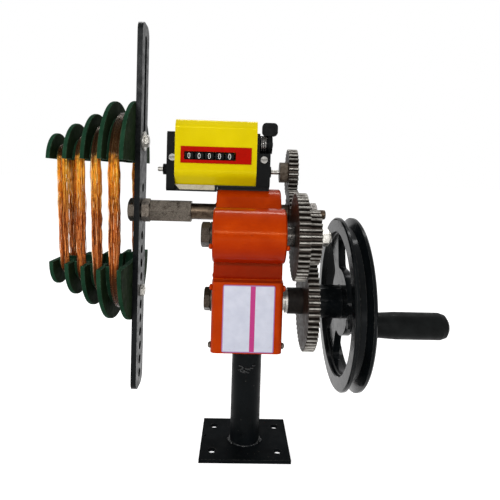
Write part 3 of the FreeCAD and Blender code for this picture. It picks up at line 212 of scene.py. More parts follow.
class Surface:
    """One procedural material, and short ways to add its nodes."""

    def __init__(self, name, rough=0.4, metal=0.0, shine=0.5, glint=(1, 1, 1)):
        self.material = bpy.data.materials.new(name)
        self.material.use_nodes = True
        self.tree = self.material.node_tree
        self.shader = self.tree.nodes["Principled BSDF"]
        self.shader.inputs["Roughness"].default_value = rough
        self.shader.inputs["Metallic"].default_value = metal
        self.shader.inputs["Specular IOR Level"].default_value = shine
        self.shader.inputs["Specular Tint"].default_value = (*glint, 1)
        self.place = self.add("ShaderNodeTexCoord").outputs["Object"]

    def add(self, kind, inputs=None, **settings):
        """A new node with some of its inputs and settings given."""
        node = self.tree.nodes.new(kind)
        for key, value in settings.items():
            setattr(node, key, value)
        for key, value in (inputs or {}).items():
            self.feed(value, node.inputs[key])
        return node

    def feed(self, value, socket):
        """Link a node's output to a socket, or set the socket to a plain value."""
        if isinstance(value, bpy.types.NodeSocket):
            self.tree.links.new(value, socket)
        else:
            socket.default_value = value

    def noise(self, size, detail=4, stretch=(1, 1, 1), rough=0.55):
        """Noise with features of about that size in metres, drawn out along an axis by stretch."""
        scale = tuple(1 / s for s in stretch)
        mapped = self.add("ShaderNodeMapping", {"Vector": self.place, "Scale": scale}).outputs[0]
        noise = self.add("ShaderNodeTexNoise", {"Vector": mapped, "Scale": 1 / size,
                                                "Detail": detail, "Roughness": rough})
        return noise.outputs["Fac"]

    def ramp(self, factor, *stops):
        """A blend through (place, colour) stops."""
        node = self.add("ShaderNodeValToRGB", {"Fac": factor})
        elements = node.color_ramp.elements
        while len(elements) < len(stops):
            elements.new(1)
        for element, (place, shade) in zip(elements, stops):
            element.position = place
            element.color = shade
        return node.outputs["Color"]

    def grade(self, factor, low, high, start=0.35, end=0.65):
        """A number that goes from low to high as the factor goes from start to end."""
        node = self.add("ShaderNodeMapRange", {"Value": factor, "From Min": start, "From Max": end,
                                               "To Min": low, "To Max": high})
        return node.outputs["Result"]

    def math(self, operation, first, second=0.0):
        """One operation on one or two numbers."""
        return self.add("ShaderNodeMath", {0: first, 1: second}, operation=operation).outputs[0]

    def mix(self, factor, first, second):
        """The first colour where the factor is 0, the second where it is 1."""
        node = self.add("ShaderNodeMix", {"Factor": factor}, data_type="RGBA")
        colours = [s for s in node.inputs if s.type == "RGBA"]
        self.feed(first, colours[0])
        self.feed(second, colours[1])
        return [s for s in node.outputs if s.type == "RGBA"][0]

    def axis(self, index):
        """The place along one axis, in metres."""
        split = self.add("ShaderNodeSeparateXYZ", {"Vector": self.place})
        return split.outputs[index]

    def radius(self, centre):
        """The distance from a line along X through a centre, in metres."""
        y = self.math("SUBTRACT", self.axis(1), centre[1])
        z = self.math("SUBTRACT", self.axis(2), centre[2])
        squares = self.math("ADD", self.math("MULTIPLY", y, y), self.math("MULTIPLY", z, z))
        return self.math("SQRT", squares)

    def facing(self, index):
        """How far the skin faces along one axis, from -1 to 1."""
        normal = self.add("ShaderNodeNewGeometry").outputs["Normal"]
        return self.add("ShaderNodeSeparateXYZ", {"Vector": normal}).outputs[index]

    def facing_down(self):
        """1 on skin that faces the floor, less on steep skin, 0 on skin that faces upward."""
        return self.grade(self.facing(2), 1, 0, -0.9, 0.1)

    def facing_sideways(self):
        """1 on skin square to the shafts, 0 on skin along them."""
        return self.grade(self.math("ABSOLUTE", self.facing(0)), 0, 1, 0.5, 0.9)

    def edge(self, width):
        """0 on flat and smoothly curved skin, up to 1 within that distance of an edge."""
        bent = self.add("ShaderNodeBevel", {"Radius": width}, samples=BEVEL_SAMPLES).outputs[0]
        normal = self.add("ShaderNodeNewGeometry").outputs["Normal"]
        match = self.add("ShaderNodeVectorMath", {0: bent, 1: normal}, operation="DOT_PRODUCT")
        return self.grade(match.outputs["Value"], 1, 0, 0.8, 0.98)

    def worn_edge(self, body, width, shade, share=0.6):
        """Colour a broken line along the edges and in the corners, partly wear and partly painted
        light: a pale shade gives a painted highlight, a dark one gives painted shade.
        """
        broken = self.grade(self.noise(3 * MM, 5, rough=0.7), 0, share, 0.42, 0.6)
        return self.mix(self.math("MULTIPLY", self.edge(width), broken), body, shade)

    def groove_shade(self):
        """0 in the open between the formers, near 1 where the wire lies in their grooves."""
        lower, upper = FORMER_GAP
        wave = self.grade(self.noise(5 * MM, 3), -GROOVE_WAVE, GROOVE_WAVE, 0.3, 0.7)
        height = self.math("ADD", self.axis(2), wave)
        above = self.grade(height, 0, UPPER_DARK, *(upper + step for step in UPPER_FADE))
        below = self.grade(height, LOWER_DARK, 0, *(lower + step for step in LOWER_FADE))
        return self.math("MAXIMUM", above, below)

    def between(self, value, low, high):
        """1 where the value lies between two limits."""
        above = self.math("GREATER_THAN", value, low)
        return self.math("MULTIPLY", above, self.math("LESS_THAN", value, high))

    def paint(self, base):
        """Set the skin's colour."""
        self.feed(base, self.shader.inputs["Base Color"])

    def roughen(self, value):
        """Set how rough the skin is."""
        self.feed(value, self.shader.inputs["Roughness"])

    def bump(self, height, strength, depth):
        """Relief of that depth in metres, over a softened edge."""
        edge = self.add("ShaderNodeBevel", {"Radius": SOFT_EDGE}, samples=BEVEL_SAMPLES).outputs[0]
        node = self.add("ShaderNodeBump", {"Height": height, "Strength": strength,
                                           "Distance": depth, "Normal": edge})
        self.feed(node.outputs[0], self.shader.inputs["Normal"])
        return self


def black_paint(name, rough=0.34, shine=0.1, wear=0.74, rub_and_highlight=0.7):
    """Thin black paint over steel: faint runs, dust, bare specks, and pale edges that are partly
    worn bare and partly painted highlight.
    """
    s = Surface(name, shine=shine)
    cloud = s.noise(30 * MM, 5)
    body = s.ramp(cloud, (0.3, colour(6, 8, 9)), (0.7, colour(13, 16, 18)))
    dust = s.grade(s.noise(4 * MM, 6), 0, 0.2, 0.55, 0.8)
    body = s.mix(dust, body, colour(40, 40, 37))
    specks = s.grade(s.noise(1.6 * MM, 3), 0, 1, wear, wear + 0.03)
    body = s.mix(specks, body, colour(110, 106, 98))
    # Pale edges: partly paint worn to bare steel, partly a painted highlight.
    s.paint(s.worn_edge(body, 0.5 * MM, colour(104, 102, 96), rub_and_highlight))
    s.roughen(s.grade(s.noise(8 * MM, 4), rough - 0.08, rough + 0.12))
    return s.bump(s.noise(1.2 * MM, 3), 0.25, 0.2 * MM).material


def orange_paint(name, light=colour(177, 57, 3), middle=colour(163, 47, 1),
                 dark=colour(147, 39, 1)):
    """Thick brushed enamel: soft unevenness, orange peel, darker dirt in the small pits, painted
    shade on skin that faces down, and dark edges that are partly wear and partly painted shade.
    """
    s = Surface(name, shine=0.14, glint=(1, 0.42, 0.16))
    cloud = s.noise(22 * MM, 5)
    body = s.ramp(cloud, (0.25, dark), (0.55, middle), (0.8, light))
    # Painted shade: skin that faces the floor is painted darker and redder.
    body = s.mix(s.facing_down(), body, colour(150, 28, 1))
    dirt = s.grade(s.noise(4.5 * MM, 6, rough=0.7), 0, 0.5, 0.6, 0.78)
    body = s.mix(dirt, body, colour(104, 24, 3))
    chips = s.grade(s.noise(2.1 * MM, 2), 0, 1, 0.755, 0.77)
    body = s.mix(chips, body, colour(64, 34, 22))
    # Dark edges: partly wear, partly painted shade in the corners.
    s.paint(s.worn_edge(body, 0.7 * MM, colour(84, 30, 12), 0.8))
    s.roughen(s.grade(s.noise(10 * MM, 4), 0.1, 0.2))
    relief = s.math("ADD", s.noise(1.8 * MM, 2), s.math("MULTIPLY", s.noise(12 * MM, 3), 1.6))
    return s.bump(relief, 0.3, 0.3 * MM).material


def yellow_sheet(name):
    """Smooth yellow enamel on folded sheet, slightly soiled."""
    s = Surface(name, shine=0.26, glint=(1, 0.88, 0.1))
    body = s.ramp(s.noise(30 * MM, 4), (0.3, colour(200, 179, 2)), (0.75, colour(210, 189, 4)))
    soil = s.grade(s.noise(5 * MM, 6, rough=0.7), 0, 0.4, 0.62, 0.8)
    body = s.mix(soil, body, colour(176, 158, 40))
    # Pale edges: partly wear, partly a painted highlight.
    s.paint(s.worn_edge(body, 0.6 * MM, colour(250, 240, 130), 0.8))
    s.roughen(s.grade(s.noise(12 * MM, 3), 0.12, 0.2))
    return s.bump(s.noise(1.5 * MM, 2), 0.1, 0.2 * MM).material


def steel(name, dark, light, stain, rough=0.34, grain=TURNED, stained=0.6, metal=0.9, rim=0):
    """Worked steel: tool marks, patches of stain and, with a rim, painted shade along the edges
    and in the corners.
    """
    s = Surface(name, metal=metal)
    marks = s.noise(0.9 * MM, 3, stretch=grain)
    body = s.ramp(marks, (0.3, dark), (0.7, light))
    patches = s.grade(s.noise(7 * MM, 6, rough=0.65), 0, 0.9, stained, stained + 0.2)
    body = s.mix(patches, body, stain)
    if rim:
        # Painted shade: a dark line along the edges and in the corners.
        body = s.mix(s.math("MULTIPLY", s.edge(rim), 0.85), body, colour(22, 18, 15))
    s.paint(body)
    s.roughen(s.grade(s.noise(4 * MM, 5), rough - 0.08, rough + 0.18))
    return s.bump(marks, 0.2, 0.15 * MM).material


def gear_steel(name, centre, tip, hub_dark, hub_light):
    """A hobbed gear: painted shade on the flanks between painted highlights on the tips and roots,
    and an oily brown web and hub.
    """
    s = Surface(name, shine=0.04)
    root = tip - TOOTH_DEPTH
    distance = s.radius(centre)
    rings = s.math("SINE", s.math("MULTIPLY", distance, math.tau / RING_PITCH))
    scores = s.noise(0.7 * MM, 3, stretch=(14, 1, 1))
    grime = s.noise(6 * MM, 6, rough=0.7)
    web = s.ramp(grime, (0.35, colour(24, 14, 10)), (0.75, colour(54, 38, 30)))
    uneven = s.grade(scores, -0.16, 0.16, 0.3, 0.7)
    height = s.math("ADD", s.grade(distance, 0, 1, root, tip), uneven)
    # Painted light: pale painted highlights on the roots and tips, painted shade on the flanks.
    teeth = s.ramp(height, (0.06, colour(78, 73, 68)), (0.24, colour(36, 31, 27)),
                   (0.72, colour(52, 47, 43)), (0.96, colour(144, 141, 135)))
    oily = s.grade(grime, 0, 0.75, 0.46, 0.72)
    teeth = s.mix(oily, teeth, colour(36, 28, 23))
    toothed = s.grade(distance, 0, 1, root - 0.6 * MM, root + 0.4 * MM)
    body = s.mix(toothed, web, teeth)
    core = s.grade(distance, 1, 0, HUB_RADIUS, HUB_RADIUS + 0.5 * MM)
    s.paint(s.mix(core, body, s.ramp(grime, (0.35, hub_dark), (0.7, hub_light))))
    s.feed(s.math("MULTIPLY", toothed, 0.8), s.shader.inputs["Metallic"])
    s.roughen(s.grade(grime, 0.34, 0.58))
    relief = s.math("ADD", s.math("MULTIPLY", rings, 0.3), scores)
    return s.bump(relief, 0.25, 0.12 * MM).material


def green_plastic(name):
    """Moulded dark green plastic, with painted shade that makes the flat sides dull and brownish,
    and pale edges that are partly scuffs and partly painted highlight.
    """
    s = Surface(name, shine=0.006, glint=(0.3, 0.75, 0.45))
    cloud = s.noise(20 * MM, 5)
    rim = s.ramp(cloud, (0.3, colour(20, 46, 31)), (0.7, colour(32, 62, 44)))
    # Painted shade: the flat sides are painted duller and browner than the rims.
    side = s.ramp(cloud, (0.3, colour(22, 34, 20)), (0.7, colour(38, 51, 33)))
    body = s.mix(s.facing_sideways(), rim, side)
    scuffs = s.grade(s.noise(3 * MM, 6, rough=0.7), 0, 0.4, 0.6, 0.78)
    body = s.mix(scuffs, body, colour(64, 98, 78))
    # Pale edges: partly scuffs, partly a painted highlight.
    s.paint(s.worn_edge(body, 0.7 * MM, colour(126, 160, 134), 0.8))
    s.roughen(s.grade(s.noise(6 * MM, 4), 0.45, 0.65))
    return s.bump(s.noise(1.4 * MM, 4), 0.15, 0.2 * MM).material


def black_plastic(name, rough=0.4, paler=0):
    """Moulded black plastic with a faint grain."""
    s = Surface(name, shine=0.05)
    light = colour(13 + paler, 15 + paler, 15 + paler)
    s.paint(s.ramp(s.noise(12 * MM, 5), (0.3, colour(7, 8, 8)), (0.7, light)))
    s.roughen(s.grade(s.noise(5 * MM, 4), rough - 0.1, rough + 0.12))
    return s.bump(s.noise(0.9 * MM, 3), 0.2, 0.12 * MM).material


def red_print(name):
    """The counter's red strip: smooth, even enamel."""
    s = Surface(name, shine=0.16, glint=(1, 0.2, 0.1))
    s.paint(s.ramp(s.noise(10 * MM, 4), (0.3, colour(150, 3, 1)), (0.7, colour(163, 6, 2))))
    s.roughen(s.grade(s.noise(4 * MM, 3), 0.28, 0.4))
    return s.bump(s.noise(1 * MM, 2), 0.1, 0.1 * MM).material


def white_print(name):
    """The white ink of the figures."""
    s = Surface(name, rough=0.5)
    grain = s.noise(0.8 * MM, 3)
    s.paint(s.ramp(grain, (0.3, colour(214, 214, 206)), (0.7, colour(244, 244, 240))))
    return s.bump(s.noise(0.6 * MM, 2), 0.1, 0.05 * MM).material


def copper_wire(name):
    """Enamelled wire, each strand its own shade, painted lighter gold higher up and darker brown
    lower down, with painted shade in the grooves.
    """
    s = Surface(name, shine=0.4, glint=(1, 0.66, 0.34))
    lower, upper = FORMER_GAP
    strand = s.add("ShaderNodeNewGeometry").outputs["Random Per Island"]
    brown = s.ramp(strand, (0.0, colour(80, 26, 5)), (0.35, colour(166, 76, 24)),
                   (0.75, colour(224, 138, 68)), (1.0, colour(255, 222, 184)))
    gold = s.ramp(strand, (0.0, colour(176, 76, 8)), (0.35, colour(252, 154, 28)),
                  (0.75, colour(255, 206, 78)), (1.0, colour(255, 234, 176)))
    # Painted light: strands are painted darker brown lower down and paler gold higher up.
    turn = (lower + share * (upper - lower) for share in (GOLD_FROM, GOLD_TO))
    body = s.mix(s.grade(s.axis(2), 0, 1, *turn), brown, gold)
    kinks = s.grade(s.noise(6 * MM, 3), 0, 0.45, 0.5, 0.7)
    body = s.mix(kinks, body, colour(78, 28, 7))
    # Painted shade: the wire is painted dark in the grooves, and darker the higher it lies.
    shade = s.groove_shade()
    depth = s.grade(s.axis(2), 0, 1, *(upper + step for step in DEEP_FADE))
    deep = s.ramp(depth, (0.0, colour(46, 15, 3)), (1.0, colour(14, 5, 2)))
    s.paint(s.mix(shade, body, deep))
    s.feed(s.grade(shade, 0.35, 0, 0, 0.8), s.shader.inputs["Metallic"])
    s.roughen(s.grade(s.noise(3 * MM, 3), 0.14, 0.28))
    return s.material


def label_print(name, low, high):
    """A pale plate with a thin mauve border and one magenta stripe, between two corners."""
    s = Surface(name, rough=0.35, shine=0.2)
    x, z = s.axis(0), s.axis(2)
    inside = s.math("MULTIPLY", s.between(x, low.x + LABEL_BORDER, high.x - LABEL_BORDER),
                    s.between(z, low.z + LABEL_BORDER, high.z - LABEL_BORDER))
    fill = s.ramp(s.noise(12 * MM, 4), (0.3, colour(180, 183, 197)), (0.7, colour(194, 196, 208)))
    body = s.mix(inside, colour(150, 110, 160), fill)
    stripe = low.x + LABEL_STRIPE_START
    band = s.math("MULTIPLY", s.between(x, stripe, stripe + LABEL_STRIPE_WIDTH), inside)
    body = s.mix(band, body, colour(170, 44, 112))
    soil = s.grade(s.noise(4 * MM, 6, rough=0.7), 0, 0.35, 0.6, 0.8)
    s.paint(s.mix(soil, body, colour(140, 120, 110)))
    return s.bump(s.noise(4 * MM, 3), 0.1, 0.1 * MM).material


# ---------------------------------------------------------------------------------------------
# Shapes
# ---------------------------------------------------------------------------------------------
BEAD_SIDES, RING_STEPS, SEAM_STEPS, HEAD_STEPS = 10, 54, 46, 16
BEAD_UNEVEN = (0.75, 1.2)
RIPPLE_HEIGHT, RIPPLE_TURN, RIPPLE_LEAN = 0.16, 2.1, 1.3
SEAM_WOBBLE = 0.25 * MM


def piece(name, mesh, material, body, smooth=True):
    """Put a mesh in the scene as a piece that rides on a body."""
    obj = bpy.data.objects.new(name, mesh)
    bpy.context.scene.collection.objects.link(obj)
    mesh.materials.append(material)
    for polygon in mesh.polygons:
        polygon.use_smooth = smooth
    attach(obj, body)
    return obj


def mesh_of(name, vertices, faces):
    """A mesh from vertices and faces."""
    mesh = bpy.data.meshes.new(name)
    mesh.from_pydata([tuple(v) for v in vertices], [], faces)
    mesh.update()
    return mesh


def sweep(points, sides, radius, closed=False):
    """Vertices and faces of a tube; its radius is a number or a function of step and angle."""
    count = len(points)
    rings = []
    previous = None
    for i in range(count):
        ahead = points[(i + 1) % count] if closed or i < count - 1 else points[i]
        behind = points[i - 1] if closed or i else points[i]
        tangent = (ahead - behind).normalized()
        side = previous if previous is not None else tangent.orthogonal()
        side = (side - tangent * side.dot(tangent)).normalized()
        previous = side
        other = tangent.cross(side)
        ring = []
        for k in range(sides):
            angle = math.tau * k / sides
            reach = radius(i, angle) if callable(radius) else radius
            across, along = math.cos(angle) * reach, math.sin(angle) * reach
            ring.append(points[i] + side * across + other * along)
        rings.append(ring)
    vertices = [v for ring in rings for v in ring]
    faces = []
    for i in range(count if closed else count - 1):
        a, b = i * sides, ((i + 1) % count) * sides
        for k in range(sides):
            n = (k + 1) % sides
            faces.append((a + k, a + n, b + n, b + k))
    if not closed:
        faces.append(tuple(reversed(range(sides))))
        faces.append(tuple(range((count - 1) * sides, count * sides)))
    return vertices, faces


def merged(name, parts):
    """One mesh from several (vertices, faces) pairs."""
    vertices, faces = [], []
    for some_vertices, some_faces in parts:
        start = len(vertices)
        vertices += some_vertices
        faces += [tuple(start + index for index in face) for face in some_faces]
    return mesh_of(name, vertices, faces)


def weld_bead(name, paths, size, material, seed, closed=False):
    """A hand-laid weld on the frame: overlapping ripples of uneven height along each path."""
    chance = random.Random(seed)
    parts = []
    for path in paths:
        bumps = [chance.uniform(*BEAD_UNEVEN) for _ in path]

        def reach(step, angle, bumps=bumps):
            """The bead's radius at one step, rippled and leaning a little round its angle."""
            ripple = RIPPLE_HEIGHT * math.sin(step * RIPPLE_TURN + RIPPLE_LEAN * math.cos(angle))
            return size * bumps[step] * (1 + ripple)
        parts.append(sweep(path, BEAD_SIDES, reach, closed))
    piece(name, merged(name, parts), material, "frame")


def ring_path(centre, radius):
    """Points round a level circle."""
    path = []
    for i in range(RING_STEPS):
        a = math.tau * i / RING_STEPS
        path.append(centre + Vector((math.cos(a) * radius, math.sin(a) * radius, 0)))
    return path


def line_path(start, end, seed):
    """Points along a line, each shaken a little."""
    chance = random.Random(seed)
    path = []
    for i in range(SEAM_STEPS + 1):
        shake = Vector([chance.uniform(-SEAM_WOBBLE, SEAM_WOBBLE) for _ in range(3)])
        path.append(start.lerp(end, i / SEAM_STEPS) + shake)
    return path


def turned_profile(profile):
    """Vertices and faces of a profile of (along, radius) pairs in millimetres, turned about +Z."""
    vertices, faces = [], []
    steps = HEAD_STEPS
    for along, radius in profile:
        for k in range(steps):
            a = math.tau * k / steps
            vertices.append(Vector((math.cos(a) * radius, math.sin(a) * radius, along)) * MM)
    for i in range(len(profile) - 1):
        for k in range(steps):
            n = (k + 1) % steps
            faces.append((i * steps + k, i * steps + n, (i + 1) * steps + n, (i + 1) * steps + k))
    faces.append(tuple(reversed(range(steps))))
    faces.append(tuple(range((len(profile) - 1) * steps, len(profile) * steps)))
    return vertices, faces


def placed(part, place, direction):
    """Turn a part's +Z towards a direction and move it to a place."""
    turn = Vector(direction).to_track_quat("Z", "Y").to_matrix()
    vertices, faces = part
    return [place + turn @ v for v in vertices], faces


# ---------------------------------------------------------------------------------------------
# Wire
# ---------------------------------------------------------------------------------------------
WIRE_RADIUS, WIRE_SIDES = 0.37 * MM, 5
STRANDS = 96
COIL_SEED = 39
# The bundle as it is drawn: its build and its width in the open, and the share of that width which
# is lost at its inner and outer skins.
BUNDLE_BUILD, BUNDLE_WIDTH, BUNDLE_ROUNDING = 6 * MM, 11.6 * MM, 0.25
# The share of its place across the bundle that a strand keeps at the lower former.
LOWER_SPREAD = (0.8, 1.0)
# The solid bundle's own width. It leans from its box's high X at the lower former to the low X at
# the upper one.
COIL_WIDTH = 9 * MM
# How far each bundle stands from the middle of its groove, at the upper and at the lower former,
# in millimetres.
COIL_DRIFT = ((-1.4, -0.9), (0.3, 0.8), (-1.2, 0.8), (0.0, 1.4))
TURN_STEPS, RUN_STEPS = 12, 16
WANDER_KNOTS = 6
WANDER_ACROSS, WANDER_DEEP = 1.5 * MM, 1.3 * MM


def wander(chance, reach):
    """A smooth random offset along a run, nothing at its two ends."""
    knots = [0] + [chance.uniform(-reach, reach) for _ in range(WANDER_KNOTS)] + [0]

    def offset(t):
        """The offset at a share t of the run, blended smoothly from knot to knot."""
        place = t * (len(knots) - 1)
        low = min(int(place), len(knots) - 2)
        blend = place - low
        blend = blend * blend * (3 - 2 * blend)
        return knots[low] * (1 - blend) + knots[low + 1] * blend
    return offset


def half_turn(x, middle_y, z, reach):
    """Points of a half circle over a former, or under it where the reach is negative."""
    path = []
    for i in range(TURN_STEPS + 1):
        a = math.pi * i / TURN_STEPS
        path.append(Vector((x, middle_y - reach * math.cos(a), z + reach * math.sin(a))))
    return path


def loose_run(chance, start, end):
    """Points of a loosely drawn wire between two places, without the two places."""
    shift_x, shift_y = wander(chance, WANDER_ACROSS), wander(chance, WANDER_DEEP)
    path = []
    for i in range(1, RUN_STEPS):
        t = i / RUN_STEPS
        path.append(start.lerp(end, t) + Vector((shift_x(t), shift_y(t), 0)))
    return path


def strand_path(chance, lower, upper, outer):
    """One closed turn of wire round the two formers.

    lower and upper are the middles of the bundle's two bends, and outer is their outer radius.
    """
    across = chance.uniform(-1, 1)
    depth = chance.random()
    radius = outer - WIRE_RADIUS - depth * (BUNDLE_BUILD - 2 * WIRE_RADIUS)
    half = BUNDLE_WIDTH / 2 * (1 - BUNDLE_ROUNDING * abs(2 * depth - 1))
    low_x = lower.x + across * half * chance.uniform(*LOWER_SPREAD)
    high_x = upper.x + across * half
    path = half_turn(high_x, upper.y, upper.z, radius)
    path += loose_run(chance, path[-1], Vector((low_x, lower.y + radius, lower.z)))
    path += half_turn(low_x, lower.y, lower.z, -radius)
    path += loose_run(chance, path[-1], path[0])
    return path


def wire_coils(material):
    """Loose turns of enamelled wire in place of each solid bundle."""
    for number, (upper_drift, lower_drift) in enumerate(COIL_DRIFT, 1):
        node = "wire_coil_%d" % number
        low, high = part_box(node)
        middle_y = (low.y + high.y) / 2
        outer = (high.y - low.y) / 2
        lower = Vector((high.x - COIL_WIDTH / 2 + lower_drift * MM, middle_y, low.z + outer))
        upper = Vector((low.x + COIL_WIDTH / 2 + upper_drift * MM, middle_y, high.z - outer))
        chance = random.Random(COIL_SEED + number)
        turns = []
        for _ in range(STRANDS):
            path = strand_path(chance, lower, upper, outer)
            turns.append(sweep(path, WIRE_SIDES, WIRE_RADIUS, closed=True))
        coil = piece("strands_%d" % number, merged("strands", turns), material, "spindle")
        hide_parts(node)


# ---------------------------------------------------------------------------------------------
# Label, digits and small parts
# ---------------------------------------------------------------------------------------------
# The label's margins on the block's front face: left, right, below and above.
LABEL_MARGINS = [size * MM for size in (12.3, 9.2, 1.3, 2.7)]
LABEL_THICK = 0.35 * MM
LABEL_BORDER = 1.1 * MM
LABEL_CORNER, CORNER_STEPS = 2.2 * MM, 6
LABEL_STRIPE_START, LABEL_STRIPE_WIDTH = 29.6 * MM, 5.4 * MM
FIGURE_HEIGHT = 6.5 * MM
FIGURE_SINK = 0.05 * MM
# Shares of a letter's own height, and the share of its width that is kept.
FIGURE_RAISE, FIGURE_THINNING, FIGURE_NARROWING = 0.02, -0.012, 0.78
FIGURE_CURVE_STEPS = 4
FIGURE_COUNT, WHEEL_COUNT = 10, 5


def label():
    """A thin plate with rounded corners on the block's front face."""
    block_low, block_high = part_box("crank_housing")
    left, right, below, above = LABEL_MARGINS
    front = block_low.y
    low = Vector((block_low.x + left, front, block_low.z + below))
    high = Vector((block_high.x - right, front, block_high.z - above))
    outline = []
    for x, z, start in ((high.x - LABEL_CORNER, high.z - LABEL_CORNER, 0),
                        (low.x + LABEL_CORNER, high.z - LABEL_CORNER, 90),
                        (low.x + LABEL_CORNER, low.z + LABEL_CORNER, 180),
                        (high.x - LABEL_CORNER, low.z + LABEL_CORNER, 270)):
        for i in range(CORNER_STEPS + 1):
            a = math.radians(start + 90 * i / CORNER_STEPS)
            outline.append((x + LABEL_CORNER * math.cos(a), z + LABEL_CORNER * math.sin(a)))
    count = len(outline)
    vertices = [Vector((x, front, z)) for x, z in outline]
    vertices += [Vector((x, front - LABEL_THICK, z)) for x, z in outline]
    faces = [(i, (i + 1) % count, count + (i + 1) % count, count + i) for i in range(count)]
    faces += [tuple(reversed(range(count))), tuple(range(count, 2 * count))]
    material = label_print("label_print", low, high)
    piece("label_plate", mesh_of("label_plate", vertices, faces), material, "frame",
          smooth=False)


def digit_shapes():
    """The ten figures as thin meshes, each centred on its own middle."""
    shapes = []
    for figure in range(FIGURE_COUNT):
        curve = bpy.data.curves.new("figure", "FONT")
        curve.body = str(figure)
        curve.size = 1
        curve.extrude = FIGURE_RAISE
        curve.offset = FIGURE_THINNING
        curve.resolution_u = FIGURE_CURVE_STEPS
        obj = bpy.data.objects.new("figure", curve)
        bpy.context.scene.collection.objects.link(obj)
        bpy.context.view_layer.update()
        evaluated = obj.evaluated_get(bpy.context.evaluated_depsgraph_get())
        mesh = bpy.data.meshes.new_from_object(evaluated)
        points = [v.co.copy() for v in mesh.vertices]
        low = Vector([min(p[i] for p in points) for i in range(3)])
        high = Vector([max(p[i] for p in points) for i in range(3)])
        middle = (low + high) / 2
        scale = FIGURE_HEIGHT / (high.y - low.y)
        vertices = []
        for p in points:
            x = (p.x - middle.x) * FIGURE_NARROWING
            vertices.append(Vector((x, p.y - middle.y, p.z - low.z)) * scale)
        shapes.append((vertices, [tuple(f.vertices) for f in mesh.polygons]))
        bpy.data.objects.remove(obj)
        bpy.data.curves.remove(curve)
        bpy.data.meshes.remove(mesh)
    return shapes


def digits(material):
    """White figures round each digit wheel, with 0 at the window."""
    shapes = digit_shapes()
    for number in range(1, WHEEL_COUNT + 1):
        low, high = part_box("number_wheel_%d" % number)
        middle_x = (low.x + high.x) / 2
        radius = (high.z - low.z) / 2 - FIGURE_SINK
        parts = []
        for figure, (vertices, faces) in enumerate(shapes):
            wrapped = []
            for v in vertices:
                a = v.y / radius - figure * math.tau / FIGURE_COUNT
                reach = radius + v.z
                wrapped.append(Vector((middle_x + v.x, DIGITS.y - reach * math.cos(a),
                                       DIGITS.z + reach * math.sin(a))))
            parts.append((wrapped, faces))
        piece("figures_%d" % number, merged("figures", parts), material, "digits_%d" % number,
              smooth=False)


# Profiles of (along, radius) in millimetres.
BOLT_HEAD = ((0, 3.4), (1.2, 3.4), (2.2, 2.9), (2.8, 1.9), (3.0, 0.6))
SCREW_HEAD = ((0, 2.9), (1.8, 2.9), (2.9, 2.2), (3.5, 0.8))
BOLT_MARGIN = 7 * MM
SCREW_INSET, SCREW_DROP = 3.2 * MM, 9 * MM
# The repair weld on the post: its dabs, their reach from side to side and their height, in
# millimetres.
PATCH_DABS, PATCH_STEPS = 9, 6
PATCH_ACROSS, PATCH_HEIGHTS = (-10, 6), (87, 97)
PATCH_RUN, PATCH_RISE = (3, 8), (-2.5, 2.5)
PATCH_SINK = 0.4 * MM
PATCH_SEED = 12
# The dabs beside the post's foot: their places round it in degrees, how far one may stray from its
# place, and how far it stands from the pipe and reaches, in millimetres.
LUMP_PLACES = (196, 204, 214, 300, 312, 322, 338, 60, 120)
LUMP_STRAY = 3
LUMP_GAP, LUMP_REACH = (0.6, 2.6), (1.2, 3)
LUMP_RAISE = 0.3 * MM
LUMP_SEED = 21
# The radius of each bead, where the rings at the post's foot and neck run, and how far the web's
# rear seam lies in from its rear face.
DAB_SIZE, SEAM_SIZE, FOOT_SIZE, NECK_SIZE = 1.3 * MM, 1.3 * MM, 1.1 * MM, 1.7 * MM
FOOT_GAP, NECK_GAP = 0.2 * MM, 0.4 * MM
FOOT_RAISE, NECK_DROP = 0.2 * MM, 0.8 * MM
WEB_REAR_INSET = 9.5 * MM


def both_ends(low, high, y, z, head):
    """The same head on the two end faces of a housing."""
    return [placed(turned_profile(head), Vector((x, y, z)), (direction, 0, 0))
            for x, direction in ((low.x, -1), (high.x, 1))]


def corner_bolts(paint, dark):
    """The small bolts in the corners of the block's two end faces, the lower ones unpainted."""
    low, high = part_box("crank_housing")
    pairs = (("upper", high.z - BOLT_MARGIN, paint), ("lower", low.z + BOLT_MARGIN, dark))
    for name, z, material in pairs:
        parts = []
        for y in (low.y + BOLT_MARGIN, high.y - BOLT_MARGIN):
            parts += both_ends(low, high, y, z, BOLT_HEAD)
        piece("block_bolts_" + name, merged("bolts", parts), material, "frame")


def tube_screws(paint):
    """A small painted screw in each end face of the middle tube, near its front."""
    low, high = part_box("middle_housing")
    ring = (high.z - low.z) / 2 - SCREW_INSET
    y = MIDDLE.y - math.sqrt(ring * ring - SCREW_DROP * SCREW_DROP)
    parts = both_ends(low, high, y, MIDDLE.z - SCREW_DROP, SCREW_HEAD)
    piece("tube_screws", merged("screws", parts), paint, "frame")


def post_radius():
    """Half the post's width."""
    low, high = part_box("post_pipe")
    return (high.x - low.x) / 2


def post_patch(black):
    """A lumpy repair weld on the front of the post."""
    radius = post_radius() - PATCH_SINK
    chance = random.Random(PATCH_SEED)
    paths = []
    for _ in range(PATCH_DABS):
        x, z, run, rise = (chance.uniform(*reach) * MM
                           for reach in (PATCH_ACROSS, PATCH_HEIGHTS, PATCH_RUN, PATCH_RISE))
        path = []
        for i in range(PATCH_STEPS + 1):
            share = i / PATCH_STEPS
            a = (x + run * share) / radius
            path.append(Vector((radius * math.sin(a), -radius * math.cos(a), z + rise * share)))
        paths.append(path)
    weld_bead("weld_patch", paths, DAB_SIZE, black, seed=13)


